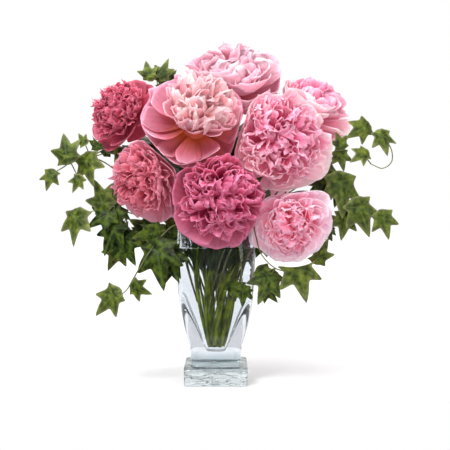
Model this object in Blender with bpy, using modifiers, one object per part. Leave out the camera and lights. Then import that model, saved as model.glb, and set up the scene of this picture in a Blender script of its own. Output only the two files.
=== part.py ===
"""Pink peonies and trailing ivy in a flared glass vase on a square foot.

Metres, +Z up. The origin is the middle of the foot's underside. The bouquet's front faces -Y.
Every bloom, peony stem and ivy sprig is one closed solid, and so are the glass and the water in it.
"""

import itertools
import math
import random
from collections import namedtuple

import bmesh
import bpy
from mathutils import Matrix, Vector

# ---------------------------------------------------------------- the vase
FOOT_HALF, FOOT_HEIGHT, FOOT_BEVEL = 0.0375, 0.021, 0.0012
RIM_HEIGHT = 0.185
VASE_SIDES = 24
# (height, half width) of the body outside the glass, and of the hollow in it
BODY = [
    (0.0225, 0.0294), (0.044, 0.0312), (0.060, 0.0357), (0.078, 0.0402), (0.100, 0.0440),
    (0.135, 0.0466), (RIM_HEIGHT, 0.0482),
]
HOLLOW = [
    (0.0380, 0.0078), (0.0395, 0.0104), (0.045, 0.0134), (0.060, 0.0191), (0.077, 0.0258),
    (0.097, 0.0330), (0.126, 0.0394), (0.163, 0.0427), (RIM_HEIGHT, 0.0444),
]
LIP_HEIGHT, LIP_INSET = 0.0008, 0.0006  # the rounded edge of the mouth
WATER_LEVEL = 0.162
# how square a level is: the exponent of its superellipse, from the foot to the rim
SQUARE_FOOT, SQUARE_BODY, ROUND_RIM = 16.0, 7.0, 2.4

GAP = 0.0006  # between solids that touch
WATER_INSET = 0.0010  # between the sides of the water and the glass
WALL_CLEARANCE = 0.0012  # between a stalk and the inside of the glass
HOLE_TOP = 0.03  # how far above the water the cutters of its holes reach

# ---------------------------------------------------------------- the stems
STEM_RADIUS, VINE_RADIUS = 0.0023, 0.0012
STEM_SIDES, VINE_SIDES, VINE_TIP = 6, 4, 0.6
# The heights where the bundle bends in the vase, and the share of the hollow that it fills there
BUNDLE = [(0.0425, 1.0), (0.066, 0.84), (0.090, 0.76), (0.120, 0.76), (0.150, 0.82), (0.181, 0.94)]
STEM_CUT, VINE_CUT = 0.002, 0.020  # how much the heights of the cut ends differ
VINE_FOOT = 0.080  # the ivy is shorter
VASE_TWIST = math.radians(75)  # how far the bundle turns on its way down the vase
# As shares of the bundle's radius: the space between neighbours, and how far out the ivy stands
STEM_SPACE, VINE_SPACE, VINE_PLACE = 0.58, 0.20, 0.97
BOUQUET_REACH = 0.135  # how far from the vase's axis a bloom's core can be
SPREAD_ROUNDS = 400
STEM_STEPS, STEM_EASE, STEM_LIFT = 4, 0.36, 1.7  # the bend of a stem from the mouth to its bloom

# ---------------------------------------------------------------- the blooms
# The middle and radius of a bloom's disc, the way it faces, its form and its petals' colour
Bloom = namedtuple("Bloom", "middle faces radius form colour")
DEEP_PINK, CORAL_PINK, PEACH_PINK = (0.55, 0.12, 0.20), (0.46, 0.10, 0.13), (0.72, 0.33, 0.37)
PALE_PINK, BRIGHT_PINK, MAGENTA = (0.74, 0.46, 0.55), (0.72, 0.27, 0.42), (0.55, 0.12, 0.24)
BLOOMS = {
    "left_high": Bloom((-0.117, 0.008, 0.326), (-0.50, -0.72, 0.45), 0.044, "ruffled", DEEP_PINK),
    "left_low": Bloom((-0.085, -0.036, 0.240), (-0.56, -0.80, -0.15), 0.048, "ruffled", CORAL_PINK),
    "front_high": Bloom((-0.020, -0.048, 0.314), (0.06, -0.88, 0.46), 0.066, "bomb", PEACH_PINK),
    "top": Bloom((0.022, 0.018, 0.367), (0.04, -0.50, 0.86), 0.062, "loose", PALE_PINK),
    "right_high": Bloom((0.118, 0.032, 0.334), (0.42, -0.30, 0.86), 0.050, "loose", PALE_PINK),
    "right_front": Bloom((0.073, -0.046, 0.285), (0.20, -0.96, 0.14), 0.063, "ruffled", BRIGHT_PINK),
    "front_low": Bloom((0.007, -0.082, 0.221), (0.10, -0.98, -0.02), 0.055, "ruffled", MAGENTA),
    "right_low": Bloom((0.087, -0.053, 0.189), (0.12, -0.96, -0.26), 0.046, "ball", BRIGHT_PINK),
    "back_left": Bloom((-0.058, 0.088, 0.250), (-0.38, 0.90, 0.20), 0.052, "loose", CORAL_PINK),
    "back_right": Bloom((0.040, 0.096, 0.244), (0.36, 0.92, 0.10), 0.054, "loose", BRIGHT_PINK),
}
DISC_FORWARD = 0.30  # the disc's middle stands this far in front of the core, in radii
CORE = 0.28  # the core's radius, in radii of the bloom
CORE_SIDES, CORE_LEVELS = 6, 5
# The cup under a bloom: its foot's width in stem radii, and its top's in radii of the core
CALYX_DEPTH, CALYX_FOOT, CALYX_WIDTH = 0.009, 1.1, 0.62
PETAL_THICKNESS = 0.0010
# How petals bend where two blooms press together, and how far apart those blooms can be
CROWD_MARGIN, CROWD_SOFT, CROWD_REACH = 0.0009, 0.014, 0.02

# A ring of petals: how many, their lean from the axis in degrees, length and half width in radii of
# the bloom, how far they curl inwards and how far their sides wrap round in degrees, and the faces
# across and along each petal
Ring = namedtuple("Ring", "count lean length half_width curl wrap across along")
FORMS = {
    "ruffled": [
        Ring(5, 82, 1.06, 0.60, 68, 46, 2, 2),
        Ring(5, 56, 0.97, 0.42, 52, 42, 2, 2),
        Ring(3, 30, 0.90, 0.34, 40, 38, 2, 2),
        Ring(2, 9, 0.78, 0.22, 20, 34, 1, 2),
    ],
    "bomb": [
        Ring(5, 88, 1.12, 0.56, 56, 44, 2, 2),
        Ring(5, 50, 0.84, 0.32, 66, 42, 2, 2),
        Ring(3, 28, 0.88, 0.30, 50, 38, 2, 2),
        Ring(2, 8, 0.84, 0.20, 26, 34, 1, 2),
    ],
    "loose": [
        Ring(5, 84, 1.12, 0.62, 70, 50, 2, 2),
        Ring(4, 54, 1.02, 0.52, 58, 46, 2, 2),
        Ring(3, 28, 0.92, 0.38, 44, 40, 2, 2),
        Ring(2, 8, 0.80, 0.24, 24, 36, 1, 2),
    ],
    "ball": [
        Ring(5, 84, 1.14, 0.60, 92, 54, 2, 2),
        Ring(5, 56, 1.00, 0.46, 80, 50, 2, 2),
        Ring(3, 30, 0.88, 0.34, 60, 42, 2, 2),
        Ring(2, 8, 0.74, 0.22, 30, 36, 1, 2),
    ],
}
PETAL_OVERLAP = 0.10  # how far one side of a petal lies over its neighbour, in radii of the bloom
PETAL_WAVE, WAVE_TURNS = 0.03, 2.6  # how deep a petal's wave is in radii of the bloom, and its turns
PETAL_ROUND = 0.11  # how far a petal's corners stay behind its tip
PETAL_BACK = 0.62  # the share of a petal's curl that its root leans back by
PETAL_ROOT = 0.5  # how deep in the core a petal is rooted, in radii of the core
PETAL_ROOT_WIDTH, PETAL_WIDEST = 0.18, 0.75  # its root's share of its width, and where it is widest
PETAL_SPREAD, PETAL_LENGTHS = 0.12, 0.05  # how uneven the petals of a ring are in place and length

# ---------------------------------------------------------------- the ivy
# The route of a vine after it leaves the mouth, the way its leaves face, and its leaves: the middle
# of the blade, its tip's turn from straight down in degrees, clockwise as one looks at its upper
# face, and its length in millimetres
Sprig = namedtuple("Sprig", "faces route leaves")
IVY = {
    "left_top": Sprig(
        (-0.15, -0.95, 0.25),
        [(-0.026, 0.010, 0.225), (-0.055, 0.028, 0.290), (-0.070, 0.036, 0.345),
         (-0.073, 0.030, 0.364)],
        [((-0.083, 0.018, 0.373), 165, 22), ((-0.064, 0.020, 0.375), -165, 24)],
    ),
    "left_high": Sprig(
        (-0.30, -0.90, 0.25),
        [(-0.062, 0.018, 0.208), (-0.104, 0.024, 0.238), (-0.138, 0.012, 0.264),
         (-0.164, 0.006, 0.268), (-0.184, 0.004, 0.256), (-0.194, 0.002, 0.250)],
        [((-0.122, 0.018, 0.280), 80, 28), ((-0.143, 0.008, 0.289), 170, 20),
         ((-0.152, -0.004, 0.255), -20, 34), ((-0.160, 0.000, 0.290), 140, 16),
         ((-0.166, -0.006, 0.237), 25, 18), ((-0.179, -0.004, 0.278), 160, 32),
         ((-0.199, -0.002, 0.242), 15, 21)],
    ),
    "left_low": Sprig(
        (-0.30, -0.92, 0.20),
        [(-0.058, 0.006, 0.196), (-0.092, 0.014, 0.198), (-0.122, 0.006, 0.206),
         (-0.146, -0.002, 0.204), (-0.158, -0.006, 0.200)],
        [((-0.106, -0.010, 0.160), -25, 34), ((-0.125, -0.010, 0.174), 20, 36),
         ((-0.136, -0.008, 0.196), 60, 32), ((-0.138, -0.002, 0.222), 150, 34),
         ((-0.167, -0.012, 0.187), 0, 36)],
    ),
    "left_trail": Sprig(
        (-0.22, -0.96, 0.10),
        [(-0.044, -0.036, 0.189), (-0.056, -0.046, 0.182), (-0.074, -0.052, 0.160),
         (-0.090, -0.052, 0.134), (-0.102, -0.050, 0.114), (-0.112, -0.048, 0.108)],
        [((-0.078, -0.040, 0.178), 75, 32), ((-0.064, -0.058, 0.147), -10, 46),
         ((-0.086, -0.058, 0.116), -70, 22), ((-0.123, -0.054, 0.102), 40, 32)],
    ),
    "right_high": Sprig(
        (0.25, -0.94, 0.20),
        [(0.066, 0.016, 0.210), (0.110, 0.026, 0.240), (0.138, 0.018, 0.264),
         (0.154, 0.008, 0.288), (0.170, 0.004, 0.297), (0.190, 0.002, 0.296),
         (0.208, 0.002, 0.282), (0.211, 0.002, 0.264), (0.200, 0.002, 0.255),
         (0.186, 0.002, 0.260)],
        [((0.150, 0.000, 0.266), -10, 22), ((0.147, -0.002, 0.288), 160, 20),
         ((0.170, -0.004, 0.300), 60, 27), ((0.172, -0.002, 0.270), 60, 21),
         ((0.200, -0.004, 0.287), -10, 26)],
    ),
    "right_low": Sprig(
        (0.28, -0.94, 0.16),
        [(0.064, 0.006, 0.196), (0.104, 0.008, 0.216), (0.134, 0.006, 0.238),
         (0.154, 0.002, 0.232), (0.172, -0.004, 0.212), (0.192, -0.006, 0.200)],
        [((0.121, -0.004, 0.243), 85, 40), ((0.149, -0.012, 0.225), 0, 44),
         ((0.173, -0.016, 0.198), -20, 38), ((0.152, -0.012, 0.188), 10, 28),
         ((0.200, -0.014, 0.189), -15, 28), ((0.130, -0.010, 0.176), 30, 18)],
    ),
    "right_trail": Sprig(
        (0.10, -0.97, 0.20),
        [(0.042, -0.038, 0.189), (0.046, -0.050, 0.176), (0.052, -0.056, 0.156),
         (0.068, -0.058, 0.140), (0.088, -0.056, 0.136), (0.106, -0.050, 0.140)],
        [((0.057, -0.062, 0.121), 25, 34), ((0.096, -0.062, 0.130), -12, 42),
         ((0.122, -0.034, 0.158), -150, 26)],
    ),
    "front_trail": Sprig(
        (0.02, -0.99, 0.10),
        [(0.018, -0.044, 0.190), (0.024, -0.050, 0.180), (0.028, -0.052, 0.156),
         (0.030, -0.052, 0.128)],
        [((0.031, -0.056, 0.109), 0, 20)],
    ),
    "back_left": Sprig(
        (-0.35, 0.90, 0.25),
        [(-0.040, 0.036, 0.189), (-0.062, 0.052, 0.186), (-0.092, 0.060, 0.172),
         (-0.118, 0.060, 0.154)],
        [((-0.070, 0.068, 0.162), 0, 38), ((-0.096, 0.064, 0.184), -120, 30),
         ((-0.130, 0.064, 0.146), -30, 32)],
    ),
    "back_middle": Sprig(
        (0.00, 0.97, 0.22),
        [(0.000, 0.046, 0.190), (0.002, 0.054, 0.184), (0.000, 0.058, 0.160),
         (0.004, 0.058, 0.128)],
        [((-0.022, 0.066, 0.168), -55, 36), ((0.026, 0.066, 0.158), 50, 36),
         ((0.006, 0.064, 0.114), 5, 28)],
    ),
    "back_right": Sprig(
        (0.35, 0.90, 0.25),
        [(0.040, 0.036, 0.189), (0.064, 0.050, 0.186), (0.098, 0.058, 0.180),
         (0.128, 0.054, 0.184)],
        [((0.074, 0.066, 0.164), 10, 36), ((0.106, 0.066, 0.162), 25, 32),
         ((0.142, 0.060, 0.192), 100, 30)],
    ),
    "back_top": Sprig(
        (-0.10, 0.80, 0.60),
        [(-0.004, 0.020, 0.240), (-0.010, 0.046, 0.300), (-0.022, 0.076, 0.325),
         (-0.034, 0.090, 0.335)],
        [((-0.030, 0.096, 0.349), 170, 30), ((-0.050, 0.094, 0.322), -70, 28),
         ((-0.008, 0.094, 0.320), 50, 28)],
    ),
}
LEAF_THICKNESS = 0.0008
# The lobes of an ivy leaf: the angle from its midrib, the length, and the half width of the kite
# that each lobe is, in lengths of the leaf
LOBES = [(0, 1.00, 0.32), (52, 0.80, 0.29), (-52, 0.80, 0.29), (110, 0.54, 0.26), (-110, 0.54, 0.26)]
# The angles of the leaf's tips, the notches between them, and both sides of its stalk
STALK_SIDE = 172
LEAF_OUTLINE = [0, 27, 52, 82, 110, STALK_SIDE, -STALK_SIDE, -110, -82, -52, -27]
LEAF_NOTCH = 0.12  # how near the edge comes to the leaf's stalk
LEAF_DROOP = 0.16  # how far the tips bend down, in leaf lengths
LEAF_MIDDLE = 0.3  # how far the middle of the blade is from its stalk, in leaf lengths
STALK_HALF_WIDTH = 0.0008
FACE_SPREAD = 0.22  # how far the way a leaf faces strays from its sprig's
# Foliage gives way to the ball of a bloom: the space it keeps, how near it must be to bend, in radii
# of the ball, and how late it does so
LEAF_CLEARANCE, BALL_REACH, BALL_POWER = 0.002, 1.5, 12
VINE_STEPS = 2  # steps of a vine between two points of its route
MOUTH_LEAD = 0.006  # how far a vine runs on from the mouth before it bends

GLASS_COLOUR, WATER_COLOUR = (0.90, 0.95, 0.95), (0.95, 0.98, 0.98)
STEM_COLOUR, IVY_COLOUR = (0.14, 0.17, 0.05), (0.07, 0.12, 0.03)
SHADE_SPREAD = 0.2  # how much lighter or darker one stem or sprig is than the next
GLASS_ROUGHNESS, PETAL_ROUGHNESS, STEM_ROUGHNESS, IVY_ROUGHNESS = 0.02, 0.6, 0.5, 0.45


# ---------------------------------------------------------------- tools
def clear_scene():
    for old in list(bpy.data.objects):
        bpy.data.objects.remove(old)


def collection(name, hidden=False):
    made = bpy.data.collections.new(name)
    bpy.context.scene.collection.children.link(made)
    made.hide_render = hidden
    return made


def dress(thing, colour, roughness, transmission=0.0):
    """Gives the object a material of its own, in place of any that its parts brought."""
    made = bpy.data.materials.new(thing.name + "_look")
    made.use_nodes = True
    shader = made.node_tree.nodes["Principled BSDF"]
    shader.inputs["Base Color"].default_value = (*colour, 1.0)
    shader.inputs["Roughness"].default_value = roughness
    shader.inputs["Metallic"].default_value = 0.0
    shader.inputs["Transmission Weight"].default_value = transmission
    thing.data.materials.clear()
    thing.data.materials.append(made)


def shaded(colour, draw):
    """The colour, a little lighter or darker."""
    return [channel * draw.uniform(1 - SHADE_SPREAD, 1 + SHADE_SPREAD) for channel in colour]


def add_object(name, mesh, home):
    made = bpy.data.objects.new(name, mesh)
    home.objects.link(made)
    return made


def as_mesh(thing, home):
    """The object's evaluated shape as a mesh object of its own, with its points welded."""
    bpy.context.view_layer.update()
    evaluated = thing.evaluated_get(bpy.context.evaluated_depsgraph_get())
    mesh = bpy.data.meshes.new_from_object(evaluated)
    welder = bmesh.new()
    welder.from_mesh(mesh)
    bmesh.ops.remove_doubles(welder, verts=welder.verts, dist=1e-6)
    welder.to_mesh(mesh)
    welder.free()
    name, place = thing.name, thing.matrix_world.copy()
    bpy.data.objects.remove(thing)
    made = add_object(name, mesh, home)
    made.matrix_world = place
    return made


def tube(name, points, radius, home, sides=6, tip=1.0):
    """A round stalk along the points, tapering to tip times its radius, with an even number of sides."""
    curve = bpy.data.curves.new(name, "CURVE")
    curve.dimensions = "3D"
    curve.bevel_depth = radius
    curve.bevel_resolution = (sides - 4) // 2
    curve.use_fill_caps = True
    spline = curve.splines.new("POLY")
    spline.points.add(len(points) - 1)
    for index, point in enumerate(points):
        spline.points[index].co = (*point, 1.0)
        spline.points[index].radius = 1 + (tip - 1) * index / (len(points) - 1)
    return as_mesh(add_object(name, curve, home), home)


def blade(name, mesh_builder, thickness, home):
    """An open sheet, split into triangles and then thickened alike on both sides."""
    sheet = bmesh.new()
    mesh_builder(sheet)
    bmesh.ops.triangulate(sheet, faces=sheet.faces)
    mesh = bpy.data.meshes.new(name)
    sheet.to_mesh(mesh)
    sheet.free()
    made = add_object(name, mesh, home)
    shell = made.modifiers.new("thickness", "SOLIDIFY")
    shell.thickness = thickness
    shell.offset = 0.0
    return as_mesh(made, home)


def boolean(target, operation, others):
    """Joins or cuts the target with every object of a collection, which are then removed."""
    step = target.modifiers.new(operation.lower(), "BOOLEAN")
    step.operation = operation
    step.operand_type = "COLLECTION"
    step.collection = others
    step.solver = "MANIFOLD"
    made = as_mesh(target, target.users_collection[0])
    for used in list(others.objects):
        bpy.data.objects.remove(used)
    return made


def smooth_curve(knots, per_span):
    """Points of a Catmull-Rom curve through the knots."""
    knots = [Vector(k) for k in knots]
    ends = [2 * knots[0] - knots[1], *knots, 2 * knots[-1] - knots[-2]]
    points = []
    for a, b, c, d in zip(ends, ends[1:], ends[2:], ends[3:]):
        for step in range(per_span):
            t = step / per_span
            points.append(
                0.5 * (2 * b + (c - a) * t + (2 * a - 5 * b + 4 * c - d) * t**2
                       + (3 * b - a - 3 * c + d) * t**3)
            )
    return [*points, knots[-1]]


def bezier(a, b, c, d, steps):
    """Points of a cubic Bezier curve."""
    return [
        a * (1 - t) ** 3 + 3 * b * t * (1 - t) ** 2 + 3 * c * t**2 * (1 - t) + d * t**3
        for t in (step / steps for step in range(steps + 1))
    ]


def between(profile, height):
    """The half width at that height of a list of (height, half width)."""
    for (low, a), (high, b) in zip(profile, profile[1:]):
        if height <= high:
            return a + (b - a) * max(0.0, (height - low) / (high - low))
    return profile[-1][1]


# ---------------------------------------------------------------- vase and water
def squareness(height):
    """The superellipse exponent of the glass at that height."""
    if height <= FOOT_HEIGHT:
        return SQUARE_FOOT
    share = (height - FOOT_HEIGHT) / (RIM_HEIGHT - FOOT_HEIGHT)
    return SQUARE_BODY + (ROUND_RIM - SQUARE_BODY) * share


def square_off(mesh, softness):
    """Turns each round level of a turned shape into a superellipse of the same half width."""
    for vertex in mesh.vertices:
        x, y, z = vertex.co
        reach = math.hypot(x, y)
        if reach > 1e-6:
            power = softness(z)
            norm = (abs(x / reach) ** power + abs(y / reach) ** power) ** (-1 / power)
            vertex.co = (x * norm, y * norm, z)


def turned(name, profile, sides, softness, home):
    """A profile of (radius, height) turned about Z, then squared off."""
    mesh = bpy.data.meshes.new(name)
    mesh.from_pydata([(r, 0, z) for r, z in profile], [(i, i + 1) for i in range(len(profile) - 1)], [])
    made = add_object(name, mesh, home)
    screw = made.modifiers.new("turn", "SCREW")
    screw.steps = screw.render_steps = sides
    screw.use_merge_vertices = True
    screw.merge_threshold = 1e-5
    made = as_mesh(made, home)
    square_off(made.data, softness)
    return made


def make_vase(home):
    hollow = [(0.0, HOLLOW[0][0]), *((half, height) for height, half in HOLLOW)]
    lip = RIM_HEIGHT + LIP_HEIGHT
    rim = [(HOLLOW[-1][1] + LIP_INSET, lip), (BODY[-1][1] - LIP_INSET, lip)]
    outside = [(half, height) for height, half in reversed(BODY)]
    foot = [
        (FOOT_HALF - FOOT_BEVEL, FOOT_HEIGHT), (FOOT_HALF, FOOT_HEIGHT - FOOT_BEVEL),
        (FOOT_HALF, FOOT_BEVEL), (FOOT_HALF - FOOT_BEVEL, 0.0), (0.0, 0.0),
    ]
    return turned("vase_glass", [*hollow, *rim, *outside, *foot], VASE_SIDES, squareness, home)


def make_water(home, stalks, cutters):
    """The water, with a plain hole for every stalk that stands in it."""
    wall = [(half - WATER_INSET, height + GAP) for height, half in HOLLOW if height < WATER_LEVEL]
    wall.append((between(HOLLOW, WATER_LEVEL) - WATER_INSET, WATER_LEVEL))
    profile = [(0.0, WATER_LEVEL), *reversed(wall), (0.0, HOLLOW[0][0] + GAP)]
    water = turned("water", profile, VASE_SIDES, squareness, home)
    for name, points, radius, sides in stalks:
        deep = [point for point in points if point.z < WATER_LEVEL + HOLE_TOP]
        deep[0] = deep[0] - (deep[1] - deep[0]).normalized() * 2 * GAP
        tube(name + "_hole", deep, radius + GAP, cutters, sides)
    return boolean(water, "DIFFERENCE", cutters)


# ---------------------------------------------------------------- where the stalks stand
def bloom_axes(bloom):
    """The bloom's core and its frame, whose third axis is the way it faces."""
    facing = Vector(bloom.faces).normalized()
    core = Vector(bloom.middle) - facing * DISC_FORWARD * bloom.radius
    side = facing.cross(Vector((0, 0, 1)) if abs(facing.z) < 0.95 else Vector((0, 1, 0))).normalized()
    return core, Matrix((side, facing.cross(side), facing)).transposed()


def spread_apart(places, spaces):
    """Moves points of the unit disc until each pair keeps the mean of its two spaces."""
    for _ in range(SPREAD_ROUNDS):
        for (place, space), (other, other_space) in itertools.combinations(zip(places, spaces), 2):
            apart = other - place
            short = (space + other_space) / 2 - apart.length
            if short > 0:
                push = apart.normalized() * short / 2
                other += push
                place -= push
        for place in places:
            if place.length > 1:
                place.normalize()
    return places


def bundle_places():
    """Each stalk's place in the bundle, as a point of the unit disc."""
    names, places, spaces = [], [], []
    for name, bloom in BLOOMS.items():
        names.append("stem_" + name)
        places.append(bloom_axes(bloom)[0].xy / BOUQUET_REACH)
        spaces.append(STEM_SPACE)
    for name, sprig in IVY.items():
        names.append("ivy_" + name)
        places.append(Vector(sprig.route[0][:2]).normalized() * VINE_PLACE)
        spaces.append(VINE_SPACE)
    return dict(zip(names, spread_apart(places, spaces)))


def stalk_in_vase(place, radius, foot):
    """The points of a stalk from its cut end up to the mouth, in a bundle that turns as it widens.

    Stalks never meet, because the bundle bends at the same levels for all of them."""
    bottom, top = BUNDLE[0][0], BUNDLE[-1][0]
    levels = []
    for height, share in BUNDLE:
        turn = -VASE_TWIST * (top - height) / (top - bottom)
        reach = share * (between(HOLLOW, height) - radius - WALL_CLEARANCE)
        spot = Matrix.Rotation(turn, 2) @ place * reach
        levels.append(Vector((spot.x, spot.y, height)))
    for low, high in zip(levels, levels[1:]):
        if foot < high.z:
            cut = low.lerp(high, max(0.0, (foot - low.z) / (high.z - low.z)))
            return [cut, *(level for level in levels if level.z >= high.z)]


# ---------------------------------------------------------------- blooms
def held_back(point, name):
    """The point, moved back where it would press into a neighbouring bloom."""
    own = BLOOMS[name]
    for other_name, other in BLOOMS.items():
        way = Vector(other.middle) - Vector(own.middle)
        apart = way.length
        if other_name == name or apart > own.radius + other.radius + CROWD_REACH:
            continue
        way.normalize()
        limit = (apart**2 + own.radius**2 - other.radius**2) / (2 * apart) - CROWD_MARGIN
        reach = (point - Vector(own.middle)).dot(way)
        start = limit - CROWD_SOFT
        if reach > start:
            pressed = start + CROWD_SOFT * (1 - math.exp((start - reach) / CROWD_SOFT))
            point = point - way * (reach - pressed)
    return point


def petal_point(u, v, ring, radius, wave):
    """A petal's point in its bloom's frame: u runs from -1 to 1 across, v from its root to its tip."""
    length, curl, wrap = ring.length * radius, math.radians(ring.curl), math.radians(ring.wrap)
    start = math.radians(90 - ring.lean) - curl * PETAL_BACK
    travel = v * (1 - PETAL_ROUND * u * u) * (1 + PETAL_LENGTHS * math.sin(2 * wave))
    angle = start + curl * travel
    root = PETAL_ROOT * CORE * radius
    bend = length / curl
    out = root + bend * (math.sin(angle) - math.sin(start))
    rise = root * math.cos(1.5 * math.radians(ring.lean)) - bend * (math.cos(angle) - math.cos(start))
    swell = math.sin(math.pi / 2 * min(1.0, v / PETAL_WIDEST))
    half = ring.half_width * radius * (PETAL_ROOT_WIDTH + (1 - PETAL_ROOT_WIDTH) * swell)
    across, inward = half / wrap * math.sin(wrap * u), half / wrap * (1 - math.cos(wrap * u))
    inward += radius * PETAL_OVERLAP * u * math.sqrt(v)
    inward += radius * PETAL_WAVE * v * v * math.sin(WAVE_TURNS * u + wave)
    return Vector((out - inward * math.sin(angle), across, rise + inward * math.cos(angle)))


def make_petal(name, ring, bloom_name, spin, wave, parts):
    core, axes = bloom_axes(BLOOMS[bloom_name])
    turn = axes @ Matrix.Rotation(spin, 3, "Z")

    def build(sheet):
        bmesh.ops.create_grid(sheet, x_segments=ring.across, y_segments=ring.along, size=1)
        for vertex in sheet.verts:
            u, v = vertex.co.x, (vertex.co.y + 1) / 2
            local = petal_point(u, v, ring, BLOOMS[bloom_name].radius, wave)
            vertex.co = held_back(core + turn @ local, bloom_name)

    return blade(name, build, PETAL_THICKNESS, parts)


def make_bloom(name, home, parts):
    """A bloom: rings of petals, sunk in a small core."""
    bloom = BLOOMS[name]
    draw = random.Random(name)
    core, axes = bloom_axes(bloom)
    ball = bmesh.new()
    bmesh.ops.create_uvsphere(
        ball, u_segments=CORE_SIDES, v_segments=CORE_LEVELS, radius=CORE * bloom.radius
    )
    mesh = bpy.data.meshes.new("bloom_" + name)
    ball.to_mesh(mesh)
    ball.free()
    mesh.transform(Matrix.Translation(core) @ axes.to_4x4())
    heart = add_object("bloom_" + name, mesh, home)
    for number, ring in enumerate(FORMS[bloom.form]):
        first = draw.uniform(0, 2 * math.pi)
        for petal in range(ring.count):
            place = petal + draw.uniform(-PETAL_SPREAD, PETAL_SPREAD)
            spin = first + 2 * math.pi * place / ring.count
            make_petal(f"petal_{number}_{petal}", ring, name, spin, draw.uniform(0, 6), parts)
    made = boolean(heart, "UNION", parts)
    dress(made, bloom.colour, PETAL_ROUGHNESS)
    return made


# ---------------------------------------------------------------- peony stems
def make_stem(name, place, home, parts):
    """A peony stem from its cut end to the calyx that its bloom sits on. Returns its points."""
    bloom = BLOOMS[name]
    draw = random.Random("stem " + name)
    core, axes = bloom_axes(bloom)
    facing = axes.col[2]
    seat = core - facing * (CORE * bloom.radius + GAP)
    lower = stalk_in_vase(place, STEM_RADIUS, BUNDLE[0][0] + draw.uniform(0, STEM_CUT))
    rise = (lower[-1] - lower[-2]).normalized()
    end = seat - facing * CALYX_DEPTH / 2
    ease = STEM_EASE * (seat - lower[-1]).length
    free = bezier(lower[-1], lower[-1] + rise * STEM_LIFT * ease, end - facing * ease, end, STEM_STEPS)
    points = [*lower, *free[1:]]
    stem = tube("stem_" + name, points, STEM_RADIUS, home, STEM_SIDES)
    cup = bmesh.new()
    bmesh.ops.create_cone(
        cup, cap_ends=True, segments=STEM_SIDES, radius1=STEM_RADIUS * CALYX_FOOT,
        radius2=CORE * bloom.radius * CALYX_WIDTH, depth=CALYX_DEPTH,
    )
    mesh = bpy.data.meshes.new("calyx")
    cup.to_mesh(mesh)
    cup.free()
    mesh.transform(Matrix.Translation(seat - facing * CALYX_DEPTH / 2) @ axes.to_4x4())
    add_object("calyx", mesh, parts)
    made = boolean(stem, "UNION", parts)
    dress(made, shaded(STEM_COLOUR, draw), STEM_ROUGHNESS)
    return points


# ---------------------------------------------------------------- ivy
def clear_of_blooms(point):
    """The point, moved out of any bloom that it would touch."""
    for bloom in BLOOMS.values():
        middle = Vector(bloom.middle)
        reach, ball = (point - middle).length, bloom.radius + LEAF_CLEARANCE
        if reach < BALL_REACH * ball:
            clear = (reach**BALL_POWER + ball**BALL_POWER) ** (1 / BALL_POWER)
            point = middle + (point - middle) * clear / reach
    return point


def lobe_reach(angle):
    """How far an ivy leaf's edge is from its stalk, at an angle from the midrib in radians."""
    reach = LEAF_NOTCH
    for centre, length, half in LOBES:
        off = abs((angle - math.radians(centre) + math.pi) % (2 * math.pi) - math.pi)
        if off < math.pi / 2:
            reach = max(reach, length * half / (half * math.cos(off) + length * math.sin(off)))
    return reach


def shape_blade(sheet, hub, tip, face, length):
    """The leaf's five lobes, fanned out round the end of its stalk. Returns the points of its edge."""
    side = tip.cross(face).normalized()
    bmesh.ops.create_circle(sheet, cap_ends=True, cap_tris=True, segments=len(LEAF_OUTLINE), radius=1)
    sheet.verts.ensure_lookup_table()
    middle, *rim = sheet.verts
    middle.co = clear_of_blooms(hub)
    for vertex, degrees in zip(rim, LEAF_OUTLINE):
        angle = math.radians(degrees)
        reach = lobe_reach(angle)
        spot = tip * math.cos(angle) + side * math.sin(angle)
        vertex.co = clear_of_blooms(hub + length * reach * (spot - face * LEAF_DROOP * reach))
    return rim


def draw_out_stalk(sheet, edge, base, root, across):
    """A flat stalk from the blade's edge, which becomes its end at the base, to its root in the vine."""
    drawn = bmesh.ops.extrude_edge_only(sheet, edges=[edge])["geom"]
    bottom = [part for part in drawn if isinstance(part, bmesh.types.BMVert)]
    for ends, spot in ((list(edge.verts), base), (bottom, root)):
        ends.sort(key=lambda vertex: vertex.co.dot(across))
        ends[0].co, ends[1].co = spot - across, spot + across


def make_leaf(name, root, hub, tip, face, length, parts):
    """One five-lobed leaf with drooping tips, and the stalk that joins it to the vine."""

    def build(sheet):
        rim = shape_blade(sheet, hub, tip, face, length)
        base = clear_of_blooms(hub) - tip * LEAF_NOTCH * length
        across = (base - root).cross(face).normalized() * STALK_HALF_WIDTH
        ends = [rim[LEAF_OUTLINE.index(degrees)] for degrees in (STALK_SIDE, -STALK_SIDE)]
        draw_out_stalk(sheet, sheet.edges.get(ends), base, root, across)

    return blade(name, build, LEAF_THICKNESS, parts)


def leaf_places(name, points):
    """For each leaf: where its stalk leaves the vine, its hub, its tip's way, its face and length."""
    sprig = IVY[name]
    draw = random.Random("ivy " + name)
    outside = points[-(len(sprig.route) - 1) * VINE_STEPS - 1:]
    found = []
    for middle, turn, size in sprig.leaves:
        face = Vector(sprig.faces) + Vector([draw.uniform(-FACE_SPREAD, FACE_SPREAD) for _ in range(3)])
        face.normalize()
        down = Vector((0, 0, -1)) + face * face.z
        tip = Matrix.Rotation(-math.radians(turn), 3, face) @ down.normalized()
        length = size / 1000
        hub = Vector(middle) - tip * LEAF_MIDDLE * length
        root = min(outside, key=lambda point: (point - hub + tip * LEAF_NOTCH * length).length)
        found.append((root, hub, tip, face, length))
    return found


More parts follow.
